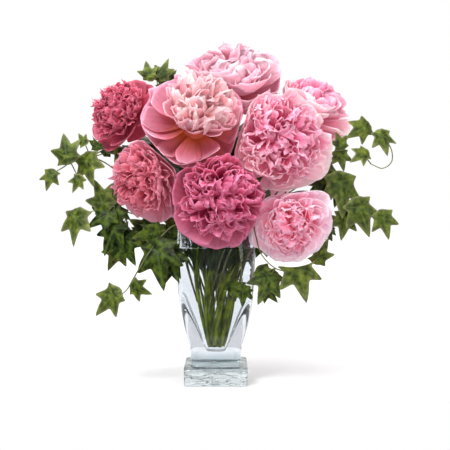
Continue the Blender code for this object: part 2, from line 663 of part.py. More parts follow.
def make_sprig(name, place, home, parts):
    """An ivy sprig: a vine from the water to its tip, with its leaves. Returns the vine's points."""
    draw = random.Random("vine " + name)
    lower = stalk_in_vase(place, VINE_RADIUS, VINE_FOOT + draw.uniform(0, VINE_CUT))
    mouth = lower[-1] + (lower[-1] - lower[-2]).normalized() * MOUTH_LEAD
    points = [*lower[:-1], *smooth_curve([lower[-1], mouth, *IVY[name].route], VINE_STEPS)]
    vine = tube("ivy_" + name, points, VINE_RADIUS, home, VINE_SIDES, VINE_TIP)
    for number, leaf in enumerate(leaf_places(name, points)):
        make_leaf(f"leaf_{number}", *leaf, parts)
    made = boolean(vine, "UNION", parts)
    dress(made, shaded(IVY_COLOUR, draw), IVY_ROUGHNESS)
    return points


# ---------------------------------------------------------------- assembly
def main():
    clear_scene()
    bouquet = collection("peonies_in_a_vase")
    parts = collection("parts_to_join", hidden=True)
    dress(make_vase(bouquet), GLASS_COLOUR, GLASS_ROUGHNESS, transmission=1.0)
    places = bundle_places()
    stalks = []
    for name in BLOOMS:
        make_bloom(name, bouquet, parts)
        points = make_stem(name, places["stem_" + name], bouquet, parts)
        stalks.append(("stem_" + name, points, STEM_RADIUS, STEM_SIDES))
    for name in IVY:
        points = make_sprig(name, places["ivy_" + name], bouquet, parts)
        stalks.append(("ivy_" + name, points, VINE_RADIUS, VINE_SIDES))
    dress(make_water(bouquet, stalks, parts), WATER_COLOUR, GLASS_ROUGHNESS, transmission=1.0)
    bpy.data.collections.remove(parts)


main()
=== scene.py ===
"""Pink peonies and trailing ivy in a flared glass vase, in fine detail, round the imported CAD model.

Metres, +Z up. The bouquet's front faces -Y. Each piece stands for the CAD node of the same name and
keeps its form: the same places, routes and faces, with real petals, leaves and curved glass.
"""

import itertools
import math
import random
from collections import namedtuple

import bpy
import numpy as np
from mathutils import Matrix, Vector


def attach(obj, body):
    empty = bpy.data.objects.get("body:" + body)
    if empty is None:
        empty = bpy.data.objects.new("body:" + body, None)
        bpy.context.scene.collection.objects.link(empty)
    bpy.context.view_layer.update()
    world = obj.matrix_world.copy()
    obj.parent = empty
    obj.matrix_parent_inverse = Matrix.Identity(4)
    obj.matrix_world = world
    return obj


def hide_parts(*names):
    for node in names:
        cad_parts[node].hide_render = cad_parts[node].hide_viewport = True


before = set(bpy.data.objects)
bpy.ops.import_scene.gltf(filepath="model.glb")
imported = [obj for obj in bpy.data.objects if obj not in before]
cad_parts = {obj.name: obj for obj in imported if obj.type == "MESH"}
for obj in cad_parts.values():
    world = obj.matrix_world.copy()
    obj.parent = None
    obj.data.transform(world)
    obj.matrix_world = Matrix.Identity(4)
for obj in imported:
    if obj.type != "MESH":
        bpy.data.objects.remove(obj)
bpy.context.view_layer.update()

# ---- the vase
FOOT_HALF, FOOT_HEIGHT, FOOT_BEVEL, FOOT_EDGE = 0.0375, 0.021, 0.0012, 0.001
RIM_HEIGHT, LIP_HEIGHT, LIP_START, LIP_STEPS = 0.185, 0.0008, 0.3, 7
# Heights and half widths
BODY = [
    (0.0225, 0.0294), (0.044, 0.0312), (0.060, 0.0357), (0.078, 0.0402), (0.100, 0.0440),
    (0.135, 0.0466), (RIM_HEIGHT, 0.0482),
]
HOLLOW = [
    (0.0380, 0.0078), (0.0395, 0.0104), (0.045, 0.0134), (0.060, 0.0191), (0.077, 0.0258),
    (0.097, 0.0330), (0.126, 0.0394), (0.163, 0.0427), (RIM_HEIGHT, 0.0444),
]
WAIST = [(0.0016, 0.0), (0.0006, 0.0004)]  # between foot and body: beyond the body, above the foot
BOTTOM_FLAT = 0.004
SQUARE_FOOT, SQUARE_BODY, ROUND_RIM = 16.0, 7.0, 2.4
VASE_SIDES, CORNER_STEPS, FINE_STEPS = 128, 5, 8
WATER_LEVEL, MENISCUS, MENISCUS_REACH, MENISCUS_STEPS = 0.162, 0.0012, 0.006, 8
WATER_OVERLAP = 0.0002  # how far the water reaches into the glass, so that no air shows between them
GLASS_IOR, WATER_IOR = 1.5, 1.33
# Along the vase from its foot to its rim: dark just above the foot, partly the tint of the thick glass there
# and partly painted shade for the dark surroundings seen through it
GLASS_TINTS_AND_PAINTED_SHADE = [
    (0.0, (0.84, 0.91, 0.93)), (0.075, (0.80, 0.88, 0.90)), (0.112, (0.34, 0.43, 0.47)),
    (0.16, (0.44, 0.53, 0.57)), (0.20, (0.72, 0.75, 0.81)), (1.0, (0.80, 0.82, 0.88)),
]
FOOT_RIPPLES = (45.0, 45.0, 150.0)
CLEAR = (0.98, 0.99, 0.99), (0.99, 1.0, 1.0)

# ---- the stems
STEM_RADIUS, VINE_RADIUS, STEM_FIT = 0.0023, 0.0012, 0.98
STEM_SIDES, VINE_SIDES, THIN_SIDES, CALYX_SIDES = 14, 10, 8, 20
# The heights where the bundle bends in the vase, and the share of the hollow that it fills there
BUNDLE = [(0.0425, 1.0), (0.066, 0.84), (0.090, 0.76), (0.120, 0.76), (0.150, 0.82), (0.181, 0.94)]
STEM_CUT, VINE_CUT, VINE_FOOT, VINE_MOUTH = 0.002, 0.020, 0.080, 0.006
VASE_TWIST = math.radians(75)
STEM_SPACE, VINE_SPACE, VINE_PLACE = 0.58, 0.20, 0.97
BOUQUET_REACH, SPREAD_ROUNDS = 0.135, 400
STEM_EASE, STEM_LIFT, STEM_BENDS, INSIDE_BENDS = 0.36, 1.7, 24, 5
WALL_CLEARANCE, CALYX_GAP = 0.0012, 0.0006
CALYX_DEPTH, CALYX_WIDTH = 0.009, 0.62
CALYX_FORM = [(0.2, 0.55), (0.45, 0.85), (0.7, 0.97), (0.9, 1.0), (1.0, 0.9)]  # shares of depth and width
SEPALS, SEPAL_LENGTH, SEPAL_THICKNESS, LEAF_STALKS = 5, 0.34, 0.0005, 4
# Leaflets at the vase's mouth and under the bloom, and the lengths of those that hang, rise and are high
MOUTH_LEAFLETS, HIGH_LEAFLETS = 7, 9
HANGING, RISING, HIGH = (0.032, 0.046), (0.036, 0.056), (0.034, 0.052)
LEAFLET_WIDTH, LEAFLET_THICKNESS = 0.20, 0.0004
LEAFLET_GRID, SEPAL_GRID = (12, 6), (8, 6)

# ---- the blooms
Bloom = namedtuple("Bloom", "middle faces radius form colours")
# Colours of a bloom's guard petals and of its inner petals, each from the root to the rim: partly the
# petals' own colour, partly painted shade deep in the crevices at the root and painted highlight at the rim
Colours = namedtuple("Colours", "guard inner")
DEEP_PINK = Colours(
    [(0.26, 0.015, 0.04), (0.42, 0.05, 0.10), (0.52, 0.12, 0.18)],
    [(0.18, 0.002, 0.015), (0.40, 0.03, 0.07), (0.66, 0.14, 0.22)],
)
CORAL = Colours(
    [(0.34, 0.04, 0.06), (0.54, 0.13, 0.18), (0.76, 0.34, 0.44)],
    [(0.24, 0.006, 0.02), (0.48, 0.05, 0.08), (0.76, 0.21, 0.28)],
)
PEACH = Colours(
    [(0.42, 0.07, 0.015), (0.56, 0.14, 0.20), (0.84, 0.38, 0.50)],
    [(0.60, 0.16, 0.09), (0.82, 0.40, 0.39), (0.96, 0.66, 0.66)],
)
BLUSH = Colours(
    [(0.54, 0.13, 0.18), (0.70, 0.30, 0.39), (0.82, 0.52, 0.60)],
    [(0.56, 0.13, 0.18), (0.72, 0.32, 0.40), (0.86, 0.60, 0.66)],
)
BRIGHT = Colours(
    [(0.66, 0.16, 0.26), (0.86, 0.40, 0.52), (0.94, 0.68, 0.70)],
    [(0.56, 0.01, 0.10), (0.80, 0.14, 0.29), (0.93, 0.44, 0.58)],
)
MAGENTA = Colours(
    [(0.22, 0.010, 0.04), (0.34, 0.035, 0.08), (0.58, 0.17, 0.28)],
    [(0.18, 0.001, 0.02), (0.48, 0.015, 0.10), (0.84, 0.24, 0.40)],
)
ROSE = Colours(
    [(0.80, 0.22, 0.34), (0.97, 0.54, 0.68), (1.00, 0.78, 0.88)],
    [(0.60, 0.01, 0.03), (0.92, 0.14, 0.25), (1.00, 0.54, 0.68)],
)
BLOOMS = {
    "left_high": Bloom((-0.117, 0.008, 0.326), (-0.50, -0.72, 0.45), 0.044, "ruffled", DEEP_PINK),
    "left_low": Bloom((-0.085, -0.036, 0.240), (-0.56, -0.80, -0.15), 0.048, "ruffled", CORAL),
    "front_high": Bloom((-0.020, -0.048, 0.314), (0.06, -0.88, 0.46), 0.066, "bomb", PEACH),
    "top": Bloom((0.022, 0.018, 0.367), (0.04, -0.50, 0.86), 0.062, "loose", BLUSH),
    "right_high": Bloom((0.118, 0.032, 0.334), (0.42, -0.30, 0.86), 0.050, "loose", BRIGHT),
    "right_front": Bloom((0.073, -0.046, 0.285), (0.20, -0.96, 0.14), 0.063, "ruffled", BRIGHT),
    "front_low": Bloom((0.007, -0.082, 0.221), (0.10, -0.98, -0.02), 0.055, "ruffled", MAGENTA),
    "right_low": Bloom((0.087, -0.053, 0.189), (0.12, -0.96, -0.26), 0.046, "ball", ROSE),
    "back_left": Bloom((-0.058, 0.088, 0.250), (-0.38, 0.90, 0.20), 0.052, "loose", CORAL),
    "back_right": Bloom((0.040, 0.096, 0.244), (0.36, 0.92, 0.10), 0.054, "loose", BRIGHT),
}
DISC_FORWARD, CORE, CORE_SIDES, CORE_RINGS = 0.30, 0.28, 24, 10
CROWD_MARGIN, CROWD_SOFT, CROWD_REACH = 0.0009, 0.014, 0.02
# Where petals reach further than their bloom's form does: the way, and by what share
FILLED_OUT = {"front_high": ((0.99, 0.0, -0.14), 0.07), "right_front": ((-0.90, 0.0, 0.44), 0.12)}
FILLED_OUT_NARROW = 8
PETAL_OVERLAP, PETAL_ROUND, INNER_ROUND = 0.10, 0.11, 0.17
PETAL_BACK, PETAL_ROOT, PETAL_SPREAD = 0.62, 0.5, 0.12
PETAL_ROOT_WIDTH, PETAL_WIDEST = 0.18, 0.75
INNER_ROOT, INNER_BACK = 0.10, 0.35
PETAL_THICKNESS = 0.0004
GUARD_GRID, INNER_GRID = (12, 16), (8, 10)
GUARD_FOLDS, GUARD_FRINGE = 0.035, 0.012

# A ring of guard petals: how many, their lean in degrees, length and half width in radii, curl and wrap
Ring = namedtuple("Ring", "count lean length half_width curl wrap")
# The dome of small petals inside them: how many, its widest lean, its reach at the rim and in the middle,
# their half width, curl, the depth of their folds and fringe in radii, and the dome's tilt in degrees
Dome = namedtuple("Dome", "count lean rim_reach middle_reach half_width curl folds fringe tilt")
FORMS = {
    "ruffled": ([Ring(5, 82, 1.04, 0.60, 68, 46), Ring(5, 72, 1.00, 0.50, 60, 44)],
        Dome(156, 80, 1.02, 0.95, 0.185, 34, 0.055, 0.06, (0, 0))),
    "bomb": (
        [Ring(5, 88, 1.12, 0.56, 56, 44), Ring(5, 76, 1.06, 0.48, 74, 50), Ring(5, 66, 0.92, 0.44, 70, 52)],
        Dome(120, 62, 0.84, 1.04, 0.20, 22, 0.035, 0.025, (9, -7))),
    "loose": (
        [Ring(5, 84, 1.10, 0.62, 70, 50), Ring(5, 70, 1.06, 0.56, 60, 48), Ring(6, 54, 1.02, 0.46, 48, 56)],
        Dome(64, 70, 1.02, 0.96, 0.36, 36, 0.060, 0.025, (0, 0))),
    "ball": (
        [Ring(5, 84, 1.12, 0.60, 92, 54), Ring(5, 72, 1.06, 0.54, 88, 54), Ring(6, 60, 0.98, 0.44, 84, 50)],
        Dome(112, 74, 0.98, 0.90, 0.23, 44, 0.055, 0.04, (0, 0))),
}
GOLDEN_ANGLE = math.pi * (3 - math.sqrt(5))

# ---- the ivy
# The way a trail faces, its route and its leaves, each with its middle, turn from hanging in degrees and
# length. Lengths and places are in millimetres.
Sprig = namedtuple("Sprig", "faces route leaves")
IVY = {
    "left_top": Sprig((-0.15, -0.95, 0.25),
        [(-26, 10, 225), (-55, 28, 290), (-70, 36, 345), (-73, 30, 364)],
        [(-83, 18, 373, 165, 22), (-64, 20, 375, -165, 24)]),
    "left_high": Sprig((-0.30, -0.90, 0.25),
        [(-62, 18, 208), (-104, 24, 238), (-138, 12, 264), (-164, 6, 268), (-184, 4, 256), (-194, 2, 250)],
        [(-122, 18, 280, 80, 28), (-143, 8, 289, 170, 20), (-152, -4, 255, -20, 34), (-160, 0, 290, 140, 16),
         (-166, -6, 237, 25, 18), (-179, -4, 278, 160, 32), (-199, -2, 242, 15, 21)]),
    "left_low": Sprig((-0.30, -0.92, 0.20),
        [(-58, 6, 196), (-92, 14, 198), (-122, 6, 206), (-146, -2, 204), (-158, -6, 200)],
        [(-106, -10, 160, -25, 34), (-125, -10, 174, 20, 36), (-136, -8, 196, 60, 32),
         (-138, -2, 222, 150, 34), (-167, -12, 187, 0, 36)]),
    "left_trail": Sprig((-0.22, -0.96, 0.10),
        [(-44, -36, 189), (-56, -46, 182), (-74, -52, 160), (-90, -52, 134), (-102, -50, 114),
         (-112, -48, 108)],
        [(-78, -40, 178, 75, 32), (-64, -58, 147, -10, 46), (-86, -58, 116, -70, 22),
         (-123, -54, 102, 40, 32)]),
    "right_high": Sprig((0.25, -0.94, 0.20),
        [(66, 16, 210), (110, 26, 240), (138, 18, 264), (154, 8, 288), (170, 4, 297), (190, 2, 296),
         (208, 2, 282), (211, 2, 264), (200, 2, 255), (186, 2, 260)],
        [(150, 0, 266, -10, 22), (147, -2, 288, 160, 20), (170, -4, 300, 60, 27), (172, -2, 270, 60, 21),
         (200, -4, 287, -10, 26)]),
    "right_low": Sprig((0.28, -0.94, 0.16),
        [(64, 6, 196), (104, 8, 216), (134, 6, 238), (154, 2, 232), (172, -4, 212), (192, -6, 200)],
        [(121, -4, 243, 85, 40), (149, -12, 225, 0, 44), (173, -16, 198, -20, 38), (152, -12, 188, 10, 28),
         (200, -14, 189, -15, 28), (130, -10, 176, 30, 18)]),
    "right_trail": Sprig((0.10, -0.97, 0.20),
        [(42, -38, 189), (46, -50, 176), (52, -56, 156), (68, -58, 140), (88, -56, 136), (106, -50, 140)],
        [(57, -62, 121, 25, 34), (96, -62, 130, -12, 42), (122, -34, 158, -150, 26)]),
    "front_trail": Sprig((0.02, -0.99, 0.10),
        [(18, -44, 190), (24, -50, 180), (28, -52, 156), (30, -52, 128)],
        [(31, -56, 109, 0, 20)]),
    "back_left": Sprig((-0.35, 0.90, 0.25),
        [(-40, 36, 189), (-62, 52, 186), (-92, 60, 172), (-118, 60, 154)],
        [(-70, 68, 162, 0, 38), (-96, 64, 184, -120, 30), (-130, 64, 146, -30, 32)]),
    "back_middle": Sprig((0.00, 0.97, 0.22),
        [(0, 46, 190), (2, 54, 184), (0, 58, 160), (4, 58, 128)],
        [(-22, 66, 168, -55, 36), (26, 66, 158, 50, 36), (6, 64, 114, 5, 28)]),
    "back_right": Sprig((0.35, 0.90, 0.25),
        [(40, 36, 189), (64, 50, 186), (98, 58, 180), (128, 54, 184)],
        [(74, 66, 164, 10, 36), (106, 66, 162, 25, 32), (142, 60, 192, 100, 30)]),
    "back_top": Sprig((-0.10, 0.80, 0.60),
        [(-4, 20, 240), (-10, 46, 300), (-22, 76, 325), (-34, 90, 335)],
        [(-30, 96, 349, 170, 30), (-50, 94, 322, -70, 28), (-8, 94, 320, 50, 28)]),
}
# An ivy leaf's lobes: each one's angle from the midrib in degrees, its length and half width
LOBES = [(0, 1.00, 0.32), (52, 0.80, 0.29), (-52, 0.80, 0.29), (110, 0.54, 0.26), (-110, 0.54, 0.26)]
LOBE_BULGE, LOBE_MERGE = 1.22, 9
LEAF_NOTCH, LEAF_DROOP, LEAF_MIDDLE = 0.12, 0.16, 0.3
LEAF_CUP, LEAF_WAVE, LEAF_CRINKLE, VEIN_WIDTH, VEIN_TAPER = 0.035, 0.035, 0.015, 0.030, 0.018
LEAF_THICKNESS, PETIOLE_RADIUS, PETIOLE_BENDS = 0.0004, 0.0006, 10
LEAF_CLEARANCE = 0.002
LEAF_STEPS, EXTRA_STEPS, LEAF_TONES = 22, 14, (0.0, 0.05, 0.1, 0.2, 0.4)
# Smaller leaves behind each leaf near the bouquet's heart; the leaves further out are paler instead
HEART, HEART_REACH, YOUNG_TONE = Vector((0, 0, 0.25)), 0.150, 0.35
EXTRA_LEAVES, EXTRA_TURN, EXTRA_STRAY, EXTRA_BEHIND, EXTRA_SIZE = 2, 1.4, 0.014, 0.012, (0.55, 0.85)
FACE_STRAY = 0.22
VINE_STEPS = 2  # the CAD vine's steps between two knots

# ---- the camera and the studio
CAMERA_TARGET = (0.0108, 0.0, 0.187)
CAMERA_DISTANCE, CAMERA_ELEVATION = 1.0, math.radians(2)
FIELD_WIDTH, SENSOR = 0.540, 36.0  # what the picture spans at the target, in metres; the sensor, in mm
FLOOR_HEIGHT, FLOOR_REACH, FLOOR_FRONT = -0.0002, 4, -0.10
LIGHTS = {  # where each is, the height that it faces on the vase's axis, its size and its power
    "key": ((-0.55, -0.95, 1.15), 0.22, 0.55, 14), "fill": ((0.95, -0.90, 0.55), 0.22, 0.9, 5),
    "overhead": ((0.0, 0.1, 1.8), 0.0, 0.9, 16), "bounce": ((0.0, -1.3, -0.10), 0.2, 0.9, 6.5),
}


# ---- building meshes
class Shape:
    """Points and faces with a look for each part, and values for each point, that become one mesh."""

    def __init__(self):
        self.points, self.faces, self.looks = [], [], []
        self.values = {"along": [], "across": [], "tone": [], "mark": []}
        self.count = 0

    def add(self, points, faces, looks=0, **values):
        """Adds a part: its faces are a list of arrays, each of faces with the same number of corners.

        Its look is one number, or for each array a number or one for each face."""
        self.points.append(points)
        for group, look in zip(faces, looks if isinstance(looks, list) else [looks] * len(faces)):
            self.faces.append(np.asarray(group) + self.count)
            self.looks.append(np.broadcast_to(look, len(group)))
        for name, known in self.values.items():
            known.append(np.broadcast_to(values.get(name, 0.0), len(points)).astype(float))
        self.count += len(points)

    def to_object(self, name, materials):
        mesh = bpy.data.meshes.new(name)
        mesh.vertices.add(self.count)
        mesh.vertices.foreach_set("co", np.concatenate(self.points).ravel())
        sizes = np.concatenate([np.full(len(group), group.shape[1]) for group in self.faces])
        corners = np.concatenate([group.ravel() for group in self.faces])
        mesh.loops.add(len(corners))
        mesh.loops.foreach_set("vertex_index", corners)
        mesh.polygons.add(len(sizes))
        mesh.polygons.foreach_set("loop_start", np.concatenate([[0], np.cumsum(sizes)[:-1]]))
        mesh.polygons.foreach_set("material_index", np.concatenate(self.looks))
        mesh.polygons.foreach_set("use_smooth", np.ones(len(sizes), bool))
        for key, arrays in self.values.items():
            layer = mesh.attributes.new(key, "FLOAT", "POINT")
            layer.data.foreach_set("value", np.concatenate(arrays))
        mesh.update(calc_edges=True)
        for material in materials:
            mesh.materials.append(material)
        return new_object(name, mesh)


def new_object(name, data):
    made = bpy.data.objects.new(name, data)
    bpy.context.scene.collection.objects.link(made)
    return made


def unit(vectors):
    return vectors / np.maximum(np.linalg.norm(vectors, axis=-1, keepdims=True), 1e-12)


def sheet(rows, columns):
    """Places across a blade, from -1 to 1, and along it, from 0 to 1."""
    return np.linspace(-1, 1, columns + 1)[None, :], np.linspace(0, 1, rows + 1)[:, None]


def add_blade(shape, grid, thickness, look, **values):
    """A closed slab from a grid of points: the sheet on both sides, joined round its rim."""
    rows, columns = grid.shape[:2]
    points, count = grid.reshape(-1, 3), rows * columns
    index = np.arange(count).reshape(rows, columns)
    corners = index[:-1, :-1], index[:-1, 1:], index[1:, 1:], index[1:, :-1]
    faces = np.stack(corners, axis=-1).reshape(-1, 4)
    rim = np.concatenate([index[0, :-1], index[:-1, -1], index[-1, :0:-1], index[:0:-1, 0]])
    corner = points[faces]
    facing = np.cross(corner[:, 2] - corner[:, 0], corner[:, 3] - corner[:, 1])
    normals = np.zeros_like(points)
    for column in range(4):
        np.add.at(normals, faces[:, column], facing)
    offset, following = unit(normals) * thickness / 2, np.roll(rim, -1)
    edge = np.stack([following, rim, rim + count, following + count], axis=1)
    size = rows, columns
    both = {key: np.tile(np.broadcast_to(value, size).ravel(), 2) for key, value in values.items()}
    sides = np.concatenate([points + offset, points - offset])
    shape.add(sides, [faces, faces[:, ::-1] + count, edge], look, **both)


def ring_faces(rings, sides):
    """The places of rings of points, those of the points after them, and the faces between rings."""
    index = np.arange(rings * sides).reshape(rings, sides)
    after = np.roll(index, -1, axis=1)
    return index, after, np.stack([index[:-1], after[:-1], after[1:], index[1:]], axis=-1).reshape(-1, 4)


def add_tube(shape, points, radii, sides, look, **values):
    """A round stalk along the points, closed at both ends."""
    points = np.array(points, float)
    ways = unit(np.gradient(points, axis=0))
    side = unit(np.cross(ways[0], [0.3, 0.9, 0.2]))
    turns = np.linspace(0, 2 * math.pi, sides, endpoint=False)
    rings = []
    for point, way, radius in zip(points, ways, np.broadcast_to(radii, len(points))):
        side = unit(side - way * side.dot(way))
        up = np.cross(way, side)
        rings.append(point + radius * (np.cos(turns)[:, None] * side + np.sin(turns)[:, None] * up))
    index, _, wall = ring_faces(len(points), sides)
    share = np.repeat(np.linspace(0, 1, len(points)), sides)
    shape.add(np.concatenate(rings), [wall, index[:1, ::-1], index[-1:]], look, along=share, **values)


def add_turned(shape, profile, sides, softness, looks=None):
    """A closed profile of (radius, height), from the axis below to the axis above, turned about Z.

    Softness gives the superellipse's exponents for heights. The looks are a number for each span."""
    looks = looks or [0] * (len(profile) - 1)
    turns = np.linspace(0, 2 * math.pi, sides, endpoint=False)
    radii, heights = np.array(profile[1:-1]).T
    power = np.broadcast_to(softness(heights), heights.shape)[:, None]
    cosine, sine = np.cos(turns)[None], np.sin(turns)[None]
    norm = (np.abs(cosine) ** power + np.abs(sine) ** power) ** (-1 / power) * radii[:, None]
    ring = np.stack([cosine * norm, sine * norm, np.broadcast_to(heights[:, None], norm.shape)], axis=-1)
    index, after, wall = ring_faces(len(radii), sides)
    first = np.stack([np.full(sides, index.size), after[0], index[0]], axis=1)
    last = np.stack([np.full(sides, index.size + 1), index[-1], after[-1]], axis=1)
    points = np.concatenate([ring.reshape(-1, 3), [[0, 0, profile[0][1]], [0, 0, profile[-1][1]]]])
    looks = [np.repeat(looks[1:-1], sides), looks[0], looks[-1]]
    shape.add(points, [wall, first, last], looks, along=points[:, 2] / RIM_HEIGHT)


def smooth_curve(knots, per_span):
    """Points of a Catmull-Rom curve through the knots."""
    knots = [Vector(k) for k in knots]
    ends = [2 * knots[0] - knots[1], *knots, 2 * knots[-1] - knots[-2]]
    points = []
    for a, b, c, d in zip(ends, ends[1:], ends[2:], ends[3:]):
        for step in range(per_span):
            t = step / per_span
            points.append(
                0.5 * (2 * b + (c - a) * t + (2 * a - 5 * b + 4 * c - d) * t**2
                       + (3 * b - a - 3 * c + d) * t**3)
            )
    return [*points, knots[-1]]


def bezier(a, b, c, d, steps):
    """Points of a cubic Bezier curve."""
    return [
        a * (1 - t) ** 3 + 3 * b * t * (1 - t) ** 2 + 3 * c * t**2 * (1 - t) + d * t**3
        for t in (step / steps for step in range(steps + 1))
    ]


def between(profile, height):
    """The half width at a height, or at an array of them, by a list of (height, half width)."""
    return np.interp(height, *np.array(profile).T)


# ---- building materials
class Nodes:
    """The node tree of a new material or world, with short ways to add and link its nodes."""

    def __init__(self, owner):
        owner.use_nodes = True
        self.owner, self.tree = owner, owner.node_tree
        self.shader = self.tree.nodes.get("Principled BSDF")

    def feed(self, node, inputs):
        """Links outputs to the node's inputs or sets those to constants, by their names or numbers."""
        for key, given in inputs.items():
            if isinstance(given, bpy.types.NodeSocket):
                self.tree.links.new(given, node.inputs[key])
            else:
                node.inputs[key].default_value = given

    def node(self, kind, inputs, **settings):
        """The outputs of a new node."""
        made = self.tree.nodes.new("ShaderNode" + kind)
        for name, value in settings.items():
            setattr(made, name, value)
        self.feed(made, inputs)
        return made.outputs

    def value(self, name):
        return self.node("Attribute", {}, attribute_name=name)["Fac"]

    def place(self, kind="Object"):
        return self.node("TexCoord", {})[kind]

    def ramp(self, factor, stops):
        """A colour ramp of (place, colour), where one number stands for a grey."""
        made = self.node("ValToRGB", {0: factor})[0]
        elements = made.node.color_ramp.elements
        while len(elements) < len(stops):
            elements.new(0.5)
        for element, (place, colour) in zip(elements, stops):
            element.position = place
            element.color = (*np.broadcast_to(colour, 3), 1.0)
        return made

    def mix(self, factor, first, second, blend="MIX"):
        return self.node("Mix", {0: factor, 6: first, 7: second}, data_type="RGBA", blend_type=blend)[2]

    def math(self, operation, *given):
        return self.node("Math", dict(enumerate(given)), operation=operation)[0]

    def noise(self, scale, detail=2.0, place=None):
        place = place or self.place()
        return self.node("TexNoise", {"Scale": scale, "Detail": detail, "Vector": place})["Fac"]

    def mottle(self, scale, low, high, detail=1.0):
        """A colour that wanders between two."""
        return self.ramp(self.noise(scale, detail), [(0.3, low), (0.7, high)])

    def grain(self, across, along):
        """A place on the blade for a texture, stretched along it and different on each blade."""
        scales = {"across": across, "along": along, "tone": 40.0}
        places = [self.math("MULTIPLY", self.value(name), scale) for name, scale in scales.items()]
        return self.node("CombineXYZ", dict(enumerate(places)))[0]

    def bump(self, height, strength, distance):
        made = self.node("Bump", {"Height": height, "Strength": strength, "Distance": distance})
        self.feed(self.shader, {"Normal": made[0]})

    def finish(self, **given):
        """Feeds the shader's inputs, whose names have _ for a space here, and gives the material."""
        self.feed(self.shader, {name.replace("_", " "): value for name, value in given.items()})
        return self.owner


def new_material(name):
    return Nodes(bpy.data.materials.new(name))


def petal_material(name, colours):
    """Petals that deepen towards the root and pale towards the rim, partly their own colour and partly
    painted shade at the root and painted highlight at the rim, with fine lengthwise streaks and a faint glow
    in their own colour, painted light in the shade between them.
    """
    make = new_material(name)
    along = make.value("along")
    # From the root to the rim: the petals' own colour, with painted shade at the root and painted highlight
    # at the rim
    inner = make.ramp(along, list(zip((0.25, 0.68, 1.0), colours.inner)))
    guard = make.ramp(along, list(zip((0.15, 0.55, 1.0), colours.guard)))
    base = make.mix(make.value("mark"), inner, guard)
    streaks = make.noise(1.0, 4.0, make.grain(9.0, 1.6))
    shade = make.ramp(streaks, [(0.30, (0.88, 0.82, 0.85)), (0.70, (1.06, 1.05, 1.05))])
    tone = make.ramp(make.value("tone"), [(0.0, (0.80, 0.66, 0.72)), (1.0, (1.13, 1.18, 1.15))])
    base = make.mix(1.0, make.mix(1.0, base, shade, "MULTIPLY"), tone, "MULTIPLY")
    make.bump(make.noise(1.0, 3.0, make.grain(26.0, 2.5)), 0.35, 0.0006)
    # A faint glow in the petals' own colour is painted light that lifts the shade between them
    return make.finish(
        Base_Color=base, Emission_Color=base, Emission_Strength=0.09, Roughness=0.55, Sheen_Weight=0.1,
        Subsurface_Weight=0.5, Subsurface_Scale=0.004, Subsurface_Radius=(1.0, 0.45, 0.5),
        Specular_IOR_Level=0.2,
    )


def leaf_material():
    """Ivy: dark green with pale veins, paler and yellower on some leaves and along their edges."""
    make = new_material("ivy_leaf")
    patches, tone = make.noise(140.0, 5.0), make.value("tone")
    green = [(0.38, (0.002, 0.006, 0.0)), (0.50, (0.019, 0.040, 0.002)), (0.66, (0.075, 0.118, 0.008))]
    pale = [(0.34, (0.022, 0.042, 0.003)), (0.52, (0.095, 0.135, 0.009)), (0.70, (0.26, 0.30, 0.035))]
    base = make.mix(tone, make.ramp(patches, green), make.ramp(patches, pale))
    edge = make.math("MULTIPLY", make.math("POWER", make.value("along"), 6.0), tone)
    base = make.mix(make.math("MULTIPLY", edge, 0.7), base, (0.55, 0.55, 0.26, 1))
    base = make.mix(make.math("MULTIPLY", make.value("mark"), 0.45), base, (0.13, 0.19, 0.05, 1))
    make.bump(make.noise(260.0, 4.0), 0.30, 0.0008)
    return make.finish(
        Base_Color=base, Roughness=make.mottle(90.0, 0.42, 0.62, 3.0), Specular_IOR_Level=0.2,
        Subsurface_Weight=0.05, Subsurface_Scale=0.002,
    )


def stem_material(name, low, high, scale):
    """A smooth green stalk or leaflet, mottled from dark to light."""
    make = new_material(name)
    base = make.ramp(make.noise(scale, 4.0), [(0.32, low), (0.68, high)])
    tint = make.ramp(make.value("tone"), [(0.0, (0.62, 0.70, 0.60)), (1.0, (1.25, 1.20, 1.1))])
    base = make.mix(1.0, base, tint, "MULTIPLY")
    make.bump(make.noise(scale * 3, 3.0), 0.2, 0.0005)
    return make.finish(Base_Color=base, Roughness=0.42, Specular_IOR_Level=0.4)


def glass_material():
    """Clear glass with ripples on the foot and a faint waviness above, tinted darker just above the foot:
    partly the thick glass's tint, partly painted shade.
    """
    make = new_material("vase_glass")
    along = make.value("along")
    ripples = make.node("Mapping", {"Vector": make.place(), "Scale": FOOT_RIPPLES})[0]
    foot = make.ramp(along, [(0.10, 1.0), (0.13, 0.03)])
    make.bump(make.math("MULTIPLY", make.noise(1.0, 1.0, ripples), foot), 0.9, 0.0045)
    # The tints darken just above the foot as painted shade, on top of the glass's own tint
    tint = make.ramp(along, GLASS_TINTS_AND_PAINTED_SHADE)
    return make.finish(Base_Color=tint, Roughness=0.0, IOR=GLASS_IOR, Transmission_Weight=1.0)


def wet_glass_material():
    """The inside of the glass below the water, which leaves the bending of light to the water's side."""
    make = new_material("vase_glass_wet")
    tint = make.mottle(40.0, *CLEAR)
    return make.finish(Base_Color=tint, Roughness=0.0, IOR=1.0, Transmission_Weight=1.0)


def water_side_material():
    """The side of the water, where light passes between it and the glass."""
    make = new_material("water_side")
    tint = make.mottle(40.0, *CLEAR)
    glass = make.node("BsdfGlass", {"Color": tint, "Roughness": 0.0, "IOR": WATER_IOR / GLASS_IOR})
    make.feed(make.tree.nodes["Material Output"], {"Surface": glass[0]})
    make.tree.nodes.remove(make.shader)
    return make.owner


def water_material():
    """Clear water with a faint ripple."""
    make = new_material("water")
    make.bump(make.noise(60.0, 1.0), 0.05, 0.0006)
    tint = make.mottle(40.0, (0.97, 0.99, 0.98), (0.99, 1.0, 1.0))
    return make.finish(Base_Color=tint, Roughness=0.0, IOR=WATER_IOR, Transmission_Weight=1.0)


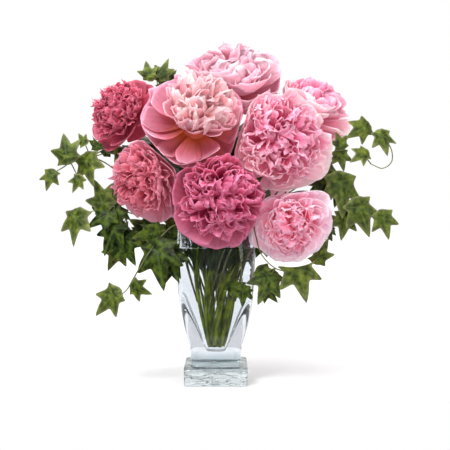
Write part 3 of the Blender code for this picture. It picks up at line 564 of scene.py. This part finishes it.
def floor_material():
    """Plain white studio paper that glows faintly, more far out so that it stays evenly white, and more at
    the vase's foot as a painted pool of light that the glass would let through.
    """
    make = new_material("floor_paper")
    away = make.node("VectorMath", {0: make.place()}, operation="LENGTH")["Value"]
    distance = make.math("MULTIPLY", away, 0.4)
    # Near the vase's foot the glow is painted light for what the glass would let through; far out it keeps
    # the floor evenly white
    glow_and_painted_light = make.ramp(distance, [(0.03, 0.24), (0.09, 0.07), (0.32, 0.06), (0.60, 0.42)])
    return make.finish(
        Base_Color=make.mottle(3.0, 0.79, 0.81, 2.0), Emission_Color=glow_and_painted_light, Emission_Strength=1.0,
        Roughness=0.9, Specular_IOR_Level=0.1,
    )


def put(shape, name, materials, node):
    """Makes an object of the shape, which takes the place of the CAD node."""
    made = shape.to_object(name, materials)
    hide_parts(node)
    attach(made, "root")


# ---- vase and water
def squareness(height):
    """The superellipse exponent of the glass at a height, or at an array of them."""
    share = (height - FOOT_HEIGHT) / (RIM_HEIGHT - FOOT_HEIGHT)
    return np.where(height <= FOOT_HEIGHT, SQUARE_FOOT, SQUARE_BODY + (ROUND_RIM - SQUARE_BODY) * share)


def flowing(profile):
    """A smooth line of (half width, height) through a list of (height, half width)."""
    curve = smooth_curve([(half, 0, height) for height, half in profile], FINE_STEPS)
    return [(point.x, point.z) for point in curve]


def corner(x, z, radius, end):
    """A rounded corner about a point: a quarter turn up to the end angle in degrees."""
    turns = [math.radians(end - 90 + 90 * step / CORNER_STEPS) for step in range(CORNER_STEPS + 1)]
    return [(x + radius * math.cos(turn), z + radius * math.sin(turn)) for turn in turns]


def hollow_line():
    """The inside of the glass from its bottom up, with a level where the water ends."""
    line = flowing(HOLLOW)
    level = (between([(height, half) for half, height in line], WATER_LEVEL), WATER_LEVEL)
    return sorted([*line, level], key=lambda point: point[1])


def make_vase():
    lip = (BODY[-1][1] - HOLLOW[-1][1]) / 2
    middle = HOLLOW[-1][1] + lip
    rim = [
        (middle + lip * math.cos(turn), RIM_HEIGHT + LIP_HEIGHT * math.sin(turn))
        for turn in np.linspace(LIP_START, math.pi - LIP_START, LIP_STEPS)
    ]
    inner = FOOT_HALF - FOOT_BEVEL
    foot = [
        (inner - FOOT_EDGE, 0.0), *corner(inner, FOOT_BEVEL, FOOT_BEVEL, 0),
        (FOOT_HALF, FOOT_HEIGHT / 2), *corner(inner, FOOT_HEIGHT - FOOT_BEVEL, FOOT_BEVEL, 90),
        (inner - FOOT_EDGE, FOOT_HEIGHT), *((BODY[0][1] + out, FOOT_HEIGHT + up) for out, up in WAIST),
    ]
    hollow = hollow_line()[::-1]
    bottom = [(BOTTOM_FLAT, HOLLOW[0][0]), (0.0, HOLLOW[0][0])]
    dry = [(0.0, 0.0), *foot, *flowing(BODY), *rim, *(point for point in hollow if point[1] > WATER_LEVEL)]
    wet = [*(point for point in hollow if point[1] <= WATER_LEVEL), *bottom]
    shape = Shape()
    add_turned(shape, [*dry, *wet], VASE_SIDES, squareness, [0] * len(dry) + [1] * (len(wet) - 1))
    put(shape, "vase_glass_piece", [glass_material(), wet_glass_material()], "vase_glass")


def make_water():
    wall = [
        (half + WATER_OVERLAP, height - WATER_OVERLAP * (height < WATER_LEVEL))
        for half, height in hollow_line() if height <= WATER_LEVEL
    ]
    top = [
        (wall[-1][0] - depth, WATER_LEVEL + MENISCUS * math.exp(-depth / MENISCUS) - MENISCUS)
        for depth in np.linspace(0.0, MENISCUS_REACH, MENISCUS_STEPS)[1:]
    ]
    top.append((0.0, WATER_LEVEL - MENISCUS))
    profile = [(0.0, HOLLOW[0][0] - WATER_OVERLAP), *wall, *top]
    shape = Shape()
    add_turned(shape, profile, VASE_SIDES, squareness, [1] * len(wall) + [0] * len(top))
    put(shape, "water_piece", [water_material(), water_side_material()], "water")


# ---- where the stalks stand
def bloom_axes(bloom):
    """The bloom's core and its frame, whose third axis is the way it faces."""
    facing = Vector(bloom.faces).normalized()
    core = Vector(bloom.middle) - facing * DISC_FORWARD * bloom.radius
    side = facing.cross(Vector((0, 0, 1)) if abs(facing.z) < 0.95 else Vector((0, 1, 0))).normalized()
    return core, Matrix((side, facing.cross(side), facing)).transposed()


def spread_apart(places, spaces):
    """Moves points of the unit disc until each pair keeps the mean of its two spaces."""
    for _ in range(SPREAD_ROUNDS):
        for (place, space), (other, other_space) in itertools.combinations(zip(places, spaces), 2):
            apart = other - place
            short = (space + other_space) / 2 - apart.length
            if short > 0:
                push = apart.normalized() * short / 2
                other += push
                place -= push
        for place in places:
            if place.length > 1:
                place.normalize()


def metres(*sizes):
    """Millimetres as metres."""
    return [size / 1000 for size in sizes]


def bundle_places():
    """Each stalk's place in the bundle, as a point of the unit disc."""
    places = {"stem_" + name: bloom_axes(bloom)[0].xy / BOUQUET_REACH for name, bloom in BLOOMS.items()}
    spaces = [STEM_SPACE] * len(places) + [VINE_SPACE] * len(IVY)
    for name, sprig in IVY.items():
        places["ivy_" + name] = Vector(metres(*sprig.route[0][:2])).normalized() * VINE_PLACE
    spread_apart(list(places.values()), spaces)
    return places


def stalk_in_vase(place, radius, foot):
    """The points of a stalk from its cut end up to the mouth, in a bundle that turns as it widens."""
    bottom, top = BUNDLE[0][0], BUNDLE[-1][0]
    levels = []
    for height, share in BUNDLE:
        turn = -VASE_TWIST * (top - height) / (top - bottom)
        reach = share * (between(HOLLOW, height) - radius - WALL_CLEARANCE)
        spot = Matrix.Rotation(turn, 2) @ place * reach
        levels.append(Vector((spot.x, spot.y, height)))
    for low, high in zip(levels, levels[1:]):
        if foot < high.z:
            cut = low.lerp(high, max(0.0, (foot - low.z) / (high.z - low.z)))
            return [cut, *(level for level in levels if level.z >= high.z)]


# ---- blooms
def held_back(points, name):
    """The points, moved back where they would press into a neighbouring bloom."""
    own = BLOOMS[name]
    for other in BLOOMS.values():
        way = Vector(other.middle) - Vector(own.middle)
        apart = way.length
        if other is own or apart > own.radius + other.radius + CROWD_REACH:
            continue
        way = np.array(way.normalized())
        start = (apart**2 + own.radius**2 - other.radius**2) / (2 * apart) - CROWD_MARGIN - CROWD_SOFT
        over = np.maximum((points - np.array(own.middle)) @ way - start, 0.0)
        points = points - (over - CROWD_SOFT * (1 - np.exp(-over / CROWD_SOFT)))[..., None] * way
    return points


# A petal: its lean, curl, wrap, tip's bend, twist and spin in radians, its length, half width, folds
# and fringe in radii of the bloom, its place in its bloom's shades, how far out it grows, from the
# middle to the guard petals, and whether it is one of those
Petal = namedtuple("Petal", "lean curl wrap bend twist spin length half_width folds fringe tone outer guard")


def petal_grid(petal, radius, draw, u, v):
    """A petal's points in its bloom's frame, from its root to its tip and across it."""
    phases = [draw.uniform(0, 2 * math.pi) for _ in range(6)]
    turns = [draw.uniform(1.6, 3.2), draw.uniform(3.5, 6.5)]
    notch = 1.6 * np.exp(-(((u - 0.5 * math.sin(phases[0])) / 0.16) ** 2))
    fringe = notch + 0.7 * np.sin(6 * u + phases[1]) + 0.5 * np.sin(13 * u + phases[2])
    rounding = PETAL_ROUND if petal.guard else INNER_ROUND
    travel = v * (1 - rounding * u * u) - petal.fringe * v**4 * fringe
    if petal.guard:
        tilt, twist, start = 0.0, petal.twist, math.pi / 2 - petal.lean - petal.curl * PETAL_BACK
        root, foot = PETAL_ROOT * CORE * radius, PETAL_ROOT * CORE * radius * math.cos(1.5 * petal.lean)
    else:
        tilt, twist, start = petal.lean, 0.0, math.pi / 2 - petal.curl * INNER_BACK
        root, foot = 0.0, INNER_ROOT * radius
    angle = start + petal.curl * travel + petal.bend * travel**4
    step = np.diff(travel, axis=0) * petal.length * radius
    middle = (angle[1:] + angle[:-1]) / 2
    first = np.zeros_like(u)
    out = root + np.concatenate([first, np.cumsum(np.cos(middle) * step, axis=0)])
    rise = foot + np.concatenate([first, np.cumsum(np.sin(middle) * step, axis=0)])
    swell = np.sin(math.pi / 2 * np.minimum(1.0, v / PETAL_WIDEST))
    half = petal.half_width * radius * (PETAL_ROOT_WIDTH + (1 - PETAL_ROOT_WIDTH) * swell)
    across = half / petal.wrap * np.sin(petal.wrap * u)
    inward = half / petal.wrap * (1 - np.cos(petal.wrap * u))
    fold = 0.6 * np.sin(turns[0] * u + phases[3]) * (0.3 + 0.7 * np.abs(u))
    fold = fold + 0.4 * v * np.sin(turns[1] * u + phases[4] + 2 * v)
    inward = inward + radius * (PETAL_OVERLAP * petal.guard * u * np.sqrt(v) + petal.folds * v**1.3 * fold)
    across = across + 0.4 * radius * petal.folds * v * np.sin(turns[1] * v + phases[5])
    across, inward = turned_by(twist, across, inward)
    x, y, z = out - inward * np.sin(angle), across, rise + inward * np.cos(angle)
    if not petal.guard:
        x, y = turned_by(petal.twist, x, y)
        z, x = turned_by(tilt, z, x)
    return np.stack([x, y, z], axis=-1)


def turned_by(angle, first, second):
    """Two coordinates, turned in their plane by the angle, from the first towards the second."""
    cosine, sine = math.cos(angle), math.sin(angle)
    return first * cosine - second * sine, first * sine + second * cosine


def guard_petals(name):
    """The broad outer petals of a bloom, ring by ring, with the first ring's petals as in the CAD."""
    rings = FORMS[BLOOMS[name].form][0]
    coarse, draw = random.Random(name), random.Random("guards " + name)
    first = coarse.uniform(0, 2 * math.pi)
    turns = []
    for number in range(rings[0].count):
        place = number + coarse.uniform(-PETAL_SPREAD, PETAL_SPREAD)
        turns.append(first + 2 * math.pi * place / rings[0].count)
        coarse.uniform(0, 6)
    for level, ring in enumerate(rings):
        for number in range(ring.count):
            stray = draw.uniform(-0.1, 0.1) * level
            yield Petal(
                lean=math.radians(ring.lean + draw.uniform(-4, 4)),
                curl=math.radians(ring.curl * draw.uniform(0.85, 1.15)), wrap=math.radians(ring.wrap),
                bend=math.radians(draw.uniform(-30, 10)), twist=draw.uniform(-0.08, 0.08),
                spin=turns[number % len(turns)] + math.pi / ring.count * level + stray,
                length=ring.length * draw.uniform(0.96, 1.0), half_width=ring.half_width,
                folds=GUARD_FOLDS, fringe=GUARD_FRINGE, tone=draw.uniform(0.3, 1.0), outer=1.0, guard=True,
            )


def inner_petals(name):
    """The dome of small petals, in a golden-angle spiral that bunches into a few tufts."""
    dome = FORMS[BLOOMS[name].form][1]
    draw = random.Random("petals " + name)
    tufts, phase = draw.choice([3, 4, 5]), draw.uniform(0, 2 * math.pi)
    widest = math.radians(dome.lean)
    for number in range(dome.count):
        share = (number + 0.5) / dome.count
        spin = number * GOLDEN_ANGLE
        middle = (1 - share) ** 2
        reach = dome.middle_reach + (dome.rim_reach - dome.middle_reach) * share
        reach *= 1 + 0.05 * math.cos(tufts * spin + phase)
        yield Petal(
            lean=math.acos(1 - share * (1 - math.cos(widest))) + math.radians(draw.uniform(-7, 7)),
            curl=math.radians(dome.curl * draw.uniform(0.4, 1.5)),
            wrap=math.radians(draw.uniform(30, 80)), bend=math.radians(draw.uniform(0, 85)),
            twist=math.radians(draw.uniform(-1, 1) * (45 + 135 * middle)),
            spin=spin + 0.4 / tufts * math.sin(tufts * spin + phase),
            length=reach * draw.uniform(0.86, 1.03) - INNER_ROOT,
            half_width=dome.half_width * draw.uniform(0.6, 1.25) * (1 - 0.25 * middle),
            folds=dome.folds * draw.uniform(0.6, 1.4), fringe=dome.fringe * draw.uniform(0.4, 1.6),
            tone=draw.uniform(0, 1) * min(1.0, 0.25 + 2.5 * share), outer=0.75 * share**2, guard=False,
        )


def filled_out(points, name):
    """The points of a petal, further out on the side where the bloom meets its neighbour."""
    if name not in FILLED_OUT:
        return points
    way, share = FILLED_OUT[name]
    middle = np.array(BLOOMS[name].middle)
    away = points - middle
    toward = np.maximum(0.0, unit(away) @ np.array(way)) ** FILLED_OUT_NARROW
    return middle + away * (1 + share * toward)[..., None]


def make_bloom(name):
    bloom = BLOOMS[name]
    core, axes = bloom_axes(bloom)
    draw = random.Random("ruffles " + name)
    up, side = FORMS[bloom.form][1].tilt
    tilt = Matrix.Rotation(math.radians(up), 3, "X") @ Matrix.Rotation(math.radians(side), 3, "Y")
    shape = Shape()
    for petal in itertools.chain(guard_petals(name), inner_petals(name)):
        u, v = sheet(*(GUARD_GRID if petal.guard else INNER_GRID))
        turn = axes if petal.guard else axes @ tilt
        turn = np.array(turn @ Matrix.Rotation(petal.spin, 3, "Z"))
        grid = petal_grid(petal, bloom.radius, draw, u, v) @ turn.T + np.array(core)
        grid = held_back(filled_out(grid, name), name)
        add_blade(shape, grid, PETAL_THICKNESS, 0, along=v, across=u, tone=petal.tone, mark=petal.outer)
    add_core(shape, core, axes, bloom)
    look = petal_material("petals_" + name, bloom.colours)
    put(shape, f"bloom_{name}_petals", [look], "bloom_" + name)


def add_core(shape, core, axes, bloom):
    """The small heart that the petals grow from."""
    turns = np.linspace(0, math.pi, CORE_RINGS)
    profile = [(CORE * bloom.radius * math.sin(t), -CORE * bloom.radius * math.cos(t)) for t in turns]
    ball = Shape()
    add_turned(ball, profile, CORE_SIDES, lambda heights: 2.0)
    points = ball.points[0] @ np.array(axes).T + np.array(core)
    shape.add(points, ball.faces, 0, along=0.1, tone=0.3)


# ---- peony stems
def make_stem(name, place, looks):
    """A peony stem with its calyx, sepals, leaf stalks and some of its dark leaflets."""
    bloom = BLOOMS[name]
    draw = random.Random("stem " + name)
    core, axes = bloom_axes(bloom)
    facing = axes.col[2]
    seat = core - facing * (CORE * bloom.radius + CALYX_GAP)
    lower = stalk_in_vase(place, STEM_RADIUS, BUNDLE[0][0] + draw.uniform(0, STEM_CUT))
    mouth, rise = lower[-1], (lower[-1] - lower[-2]).normalized()
    end = seat - facing * CALYX_DEPTH / 2
    ease = STEM_EASE * (seat - mouth).length
    free = bezier(mouth, mouth + rise * STEM_LIFT * ease, end - facing * ease, end, STEM_BENDS)
    inside = smooth_curve(lower, INSIDE_BENDS)
    shape = Shape()
    add_tube(shape, [*inside[:-1], *free], STEM_RADIUS * STEM_FIT, STEM_SIDES, 0, tone=draw.random())
    wide = CORE * bloom.radius * CALYX_WIDTH
    cup = [seat - facing * CALYX_DEPTH * (1 - depth) for depth, _ in ((0.0, 0.0), *CALYX_FORM)]
    add_tube(shape, cup, [STEM_RADIUS, *(wide * half for _, half in CALYX_FORM)], CALYX_SIDES, 0, tone=0.6)
    for number in range(SEPALS):
        turn = 2 * math.pi * (number + draw.uniform(-0.15, 0.15)) / SEPALS
        radial = axes @ Vector((math.cos(turn), math.sin(turn), 0))
        add_sepal(shape, seat - facing * CALYX_DEPTH * 0.5, radial, facing, bloom.radius * SEPAL_LENGTH)
    for _ in range(LEAF_STALKS):
        add_leaf_stalk(shape, inside, draw)
    for _ in range(MOUTH_LEAFLETS):
        out = any_way(draw)
        add_leaflet(shape, mouth - rise * draw.uniform(0, 0.012), -rise + 0.15 * out, out, HANGING, draw)
        add_leaflet(shape, free[draw.randrange(1, 5)], rise + 0.7 * out, out, RISING, draw)
    for _ in range(HIGH_LEAFLETS):
        out = any_way(draw)
        add_leaflet(shape, free[draw.randrange(10, 19)], 0.5 * rise + 0.9 * out, out, HIGH, draw)
    put(shape, f"stem_{name}_piece", [looks["stem"], looks["peony_leaf"]], "stem_" + name)


def any_way(draw):
    """A level way, drawn by chance."""
    return Matrix.Rotation(draw.uniform(0, 2 * math.pi), 3, "Z") @ Vector((1, 0, 0))


def add_leaf_stalk(shape, line, draw):
    """The thin stalk of a leaf, which runs beside the stem, on the side of the vase's axis."""
    turn = Matrix.Rotation(draw.uniform(-1.2, 1.2), 2)
    apart, start = draw.uniform(0.0030, 0.0052), draw.randrange(0, len(line) // 3)
    points = []
    for number, point in enumerate(line[start:]):
        share = number / (len(line) - start - 1)
        inward = turn @ -point.xy.normalized() * apart * (1 - share**3)
        points.append(point + Vector((inward.x, inward.y, 0)))
    add_tube(shape, points, draw.uniform(0.0008, 0.0012), THIN_SIDES, 0, tone=draw.random())


def placed(root, axes, *sizes):
    """Points at those sizes from the root along the axes."""
    return np.array(root) + sum(size[..., None] * np.array(axis) for size, axis in zip(sizes, axes))


def add_sepal(shape, root, radial, facing, length):
    """A small pointed sepal that hugs the back of the bloom."""
    u, v = sheet(*SEPAL_GRID)
    half = length * 0.36 * np.sin(math.pi * (0.12 + 0.84 * v)) * (1 - 0.35 * v)
    lift = length * (0.10 * v * v - 0.02) + 0.1 * half * u * u
    grid = placed(root, (radial, facing.cross(radial), facing), length * v, half * u, lift)
    add_blade(shape, grid, SEPAL_THICKNESS, 0, along=v, across=u, tone=0.7)


def add_leaflet(shape, root, way, outward, lengths, draw):
    """One lance-shaped dark leaflet of a peony's leaf, folded along its rib."""
    u, v = sheet(*LEAFLET_GRID)
    way, length = way.normalized(), draw.uniform(*lengths)
    side = way.cross(outward).normalized()
    half = length * LEAFLET_WIDTH * np.sin(math.pi * (0.04 + 0.96 * v) ** 0.8)
    sag = length * (0.16 * draw.uniform(-1, 1) * v * v) + half * 0.35 * np.abs(u)
    grid = placed(root, (way, side, side.cross(way)), length * v, half * u, sag)
    grid = clear_of_glass(clear_of_blooms(grid), True)
    add_blade(shape, grid, LEAFLET_THICKNESS, 1, along=v, across=u, tone=draw.random())


# ---- ivy
def clear_of_glass(points, inside):
    """The points, moved off the vase's wall, to within its hollow or to its outside."""
    x, y, height = np.moveaxis(np.array(points, float), -1, 0)
    low = np.minimum(height, RIM_HEIGHT)
    power = squareness(low)
    reach = (np.abs(x) ** power + np.abs(y) ** power) ** (1 / power)
    if inside:
        scale = np.minimum(1.0, (between(HOLLOW, low) - LEAF_CLEARANCE) / reach)
    else:
        scale = np.maximum(1.0, (between(BODY, low) + LEAF_CLEARANCE) / reach)
    scale = np.where(height < RIM_HEIGHT + LEAF_CLEARANCE, scale, 1.0)
    return np.stack([x * scale, y * scale, height], axis=-1)


def clear_of_blooms(points):
    """The points, moved out of any bloom that they would touch."""
    points = np.array(points, float)
    for bloom in BLOOMS.values():
        away = points - np.array(bloom.middle)
        reach = np.linalg.norm(away, axis=-1, keepdims=True)
        ball = bloom.radius + LEAF_CLEARANCE
        moved = (reach**12 + ball**12) ** (1 / 12) / reach
        points = np.array(bloom.middle) + away * np.where(reach < 1.5 * ball, moved, 1.0)
    return points


def lobe_reach(angles):
    """How far an ivy leaf's edge is from its stalk, at angles from the midrib in radians."""
    total = np.full(angles.shape, LEAF_NOTCH**LOBE_MERGE)
    for centre, length, half in LOBES:
        off = np.abs((angles - math.radians(centre) + math.pi) % (2 * math.pi) - math.pi)
        off = np.minimum(off, math.pi / 2)
        lobe = (np.cos(off) / length) ** LOBE_BULGE + (np.sin(off) / half) ** LOBE_BULGE
        total = total + lobe ** (-LOBE_MERGE / LOBE_BULGE)
    return total ** (1 / LOBE_MERGE)


def disc_grid(steps):
    """Angles and radii of a square grid pressed into the unit disc."""
    side = np.linspace(-1, 1, steps + 1)
    x, y = np.meshgrid(side, side)
    radius = np.maximum(np.abs(x), np.abs(y))
    wide = np.abs(x) >= np.abs(y)
    safe = np.where(radius == 0, 1.0, radius)
    right, above = math.pi / 4 * y / safe, np.sign(y) * (math.pi / 2 - math.pi / 4 * x / safe)
    angle = np.where(wide, np.where(x < 0, math.pi - right, right), above)
    return angle, radius


def add_leaf(shape, root, hub, tip, face, length, draw, pale, steps=LEAF_STEPS):
    """A five-lobed leaf with drooping tips, grooved veins and a slender stalk."""
    angle, radius = disc_grid(steps)
    reach = radius * lobe_reach(angle)
    x, y = reach * np.cos(angle), reach * np.sin(angle)
    vein = np.zeros_like(x)
    for centre, long, _ in LOBES:
        run, off = turned_by(-math.radians(centre), x, y)
        width = VEIN_WIDTH - VEIN_TAPER * np.clip(run / long, 0, 1)
        vein = np.maximum(vein, np.where(run > -0.02, np.exp(-((off / width) ** 2)), 0.0))
    phase = [draw.uniform(0, 6) for _ in range(2)]
    lift = -LEAF_DROOP * reach**2 + LEAF_CUP * (1 - vein) * (1 - radius**2)
    lift = lift + LEAF_WAVE * radius**2 * np.sin(3 * angle + phase[0])
    lift = lift + LEAF_CRINKLE * radius**3 * np.sin(9 * angle + phase[1])
    sizes = [length * size for size in (x, y, lift)]
    grid = placed(hub, (tip, tip.cross(face).normalized(), face), *sizes)
    tone = draw.choice(LEAF_TONES) + pale
    grid = clear_of_glass(clear_of_blooms(grid), False)[:, ::-1]
    add_blade(shape, grid, LEAF_THICKNESS, 0, along=radius[:, ::-1], tone=tone, mark=vein[:, ::-1])
    middle = Vector(clear_of_blooms(hub))
    bend = root.lerp(middle, 0.6) - face * 0.10 * (root - middle).length
    stalk = bezier(root, root.lerp(bend, 0.6), bend, middle - face * PETIOLE_RADIUS, PETIOLE_BENDS)
    radii = np.linspace(1.3, 1.0, len(stalk)) * PETIOLE_RADIUS
    add_tube(shape, stalk, radii, THIN_SIDES, 1, tone=tone)


def leaf_places(name, points):
    """For each leaf: where its stalk leaves the vine, its hub, its tip's way, its face and length."""
    sprig = IVY[name]
    draw = random.Random("ivy " + name)
    outside = points[-(len(sprig.route) - 1) * VINE_STEPS - 1:]
    for x, y, z, turn, size in sprig.leaves:
        stray = Vector([draw.uniform(-FACE_STRAY, FACE_STRAY) for _ in range(3)])
        face = (Vector(sprig.faces) + stray).normalized()
        down = Vector((0, 0, -1)) + face * face.z
        tip = Matrix.Rotation(-math.radians(turn), 3, face) @ down.normalized()
        length = size / 1000
        hub = Vector(metres(x, y, z)) - tip * LEAF_MIDDLE * length
        root = min(outside, key=lambda point: (point - hub + tip * LEAF_NOTCH * length).length)
        yield root, hub, tip, face, length


def make_sprig(name, place, looks):
    draw, leaf_draw = random.Random("vine " + name), random.Random("leaves " + name)
    lower = stalk_in_vase(place, VINE_RADIUS, VINE_FOOT + draw.uniform(0, VINE_CUT))
    mouth = lower[-1] + (lower[-1] - lower[-2]).normalized() * VINE_MOUTH
    route = [mouth, *(metres(*point) for point in IVY[name].route)]
    coarse = [*lower[:-1], *smooth_curve([lower[-1], *route], VINE_STEPS)]
    fine = smooth_curve([*lower, *route], FINE_STEPS)
    shape = Shape()
    radii = np.linspace(0.95, 0.5, len(fine)) * VINE_RADIUS
    add_tube(shape, fine, radii, VINE_SIDES, 1, tone=draw.random())
    for root, hub, tip, face, length in leaf_places(name, coarse):
        young = (hub - HEART).length > HEART_REACH
        add_leaf(shape, root, hub, tip, face, length, leaf_draw, YOUNG_TONE * young)
        for _ in range(0 if young else EXTRA_LEAVES):
            turn = Matrix.Rotation(leaf_draw.uniform(-EXTRA_TURN, EXTRA_TURN), 3, face)
            stray = Vector([leaf_draw.uniform(-EXTRA_STRAY, EXTRA_STRAY) for _ in range(3)])
            behind = Vector((0.95 * hub.x, hub.y, hub.z)) - face * EXTRA_BEHIND + stray
            size = length * leaf_draw.uniform(*EXTRA_SIZE)
            add_leaf(shape, root, behind, turn @ tip, face, size, leaf_draw, 0.0, EXTRA_STEPS)
    put(shape, f"ivy_{name}_piece", [looks["ivy_leaf"], looks["vine"]], "ivy_" + name)


# ---- studio
def make_studio():
    mesh = bpy.data.meshes.new("floor")
    corners = [(-1, FLOOR_FRONT), (1, FLOOR_FRONT), (1, FLOOR_REACH), (-1, FLOOR_REACH)]
    mesh.from_pydata([(side * FLOOR_REACH, y, FLOOR_HEIGHT) for side, y in corners], [], [(0, 1, 2, 3)])
    mesh.materials.append(floor_material())
    new_object("floor", mesh)
    for name, (place, height, size, power) in LIGHTS.items():
        data = bpy.data.lights.new(name, "AREA")
        data.shape, data.size, data.energy = "DISK", size, power
        light = new_object(name, data)
        light.location = place
        light.rotation_euler = (Vector((0, 0, height)) - Vector(place)).to_track_quat("-Z", "Y").to_euler()
        if name == "bounce":
            light.visible_glossy = light.visible_camera = False
    make_surroundings()
    bpy.context.scene.view_settings.view_transform = "Standard"


def make_surroundings():
    """A white backdrop that the camera sees, and a studio with dim sides that the glass and petals see."""
    make = Nodes(bpy.data.worlds.new("studio"))
    bpy.context.scene.world = make.owner
    make.tree.nodes.clear()
    x, y, z = make.node("SeparateXYZ", {0: make.place("Generated")})
    sides = make.ramp(make.math("ABSOLUTE", x), [(0.40, 1.0), (0.75, 0.20)])
    depth = make.ramp(make.math("MULTIPLY_ADD", y, 0.5, 0.5), [(0.0, 0.10), (0.9, 0.88)])
    overhead = make.ramp(z, [(0.35, 0.0), (0.75, 1.1)])
    light = make.math("MAXIMUM", make.math("MULTIPLY", sides, depth), overhead)
    seen = make.mix(make.node("LightPath", {})["Is Camera Ray"], light, (1, 1, 1, 1))
    make.node("OutputWorld", {"Surface": make.node("Background", {"Color": seen})[0]})


def make_camera():
    data = bpy.data.cameras.new("camera")
    data.sensor_width = SENSOR
    data.lens = SENSOR * CAMERA_DISTANCE / FIELD_WIDTH
    camera = new_object("camera", data)
    away = Vector((0, -math.cos(CAMERA_ELEVATION), math.sin(CAMERA_ELEVATION)))
    camera.location = Vector(CAMERA_TARGET) + away * CAMERA_DISTANCE
    camera.rotation_euler = (-away).to_track_quat("-Z", "Y").to_euler()
    bpy.context.scene.camera = camera


# ---- assembly
def main():
    make_camera()
    make_studio()
    looks = {
        "stem": stem_material("peony_stem", (0.016, 0.030, 0.0), (0.38, 0.48, 0.01), 60.0),
        "peony_leaf": stem_material("peony_leaf", (0.006, 0.014, 0.001), (0.06, 0.11, 0.005), 60.0),
        "ivy_leaf": leaf_material(),
        "vine": stem_material("ivy_vine", (0.07, 0.09, 0.03), (0.26, 0.26, 0.12), 120.0),
    }
    make_vase()
    make_water()
    places = bundle_places()
    for name in BLOOMS:
        make_bloom(name)
        make_stem(name, places["stem_" + name], looks)
    for name in IVY:
        make_sprig(name, places["ivy_" + name], looks)


main()
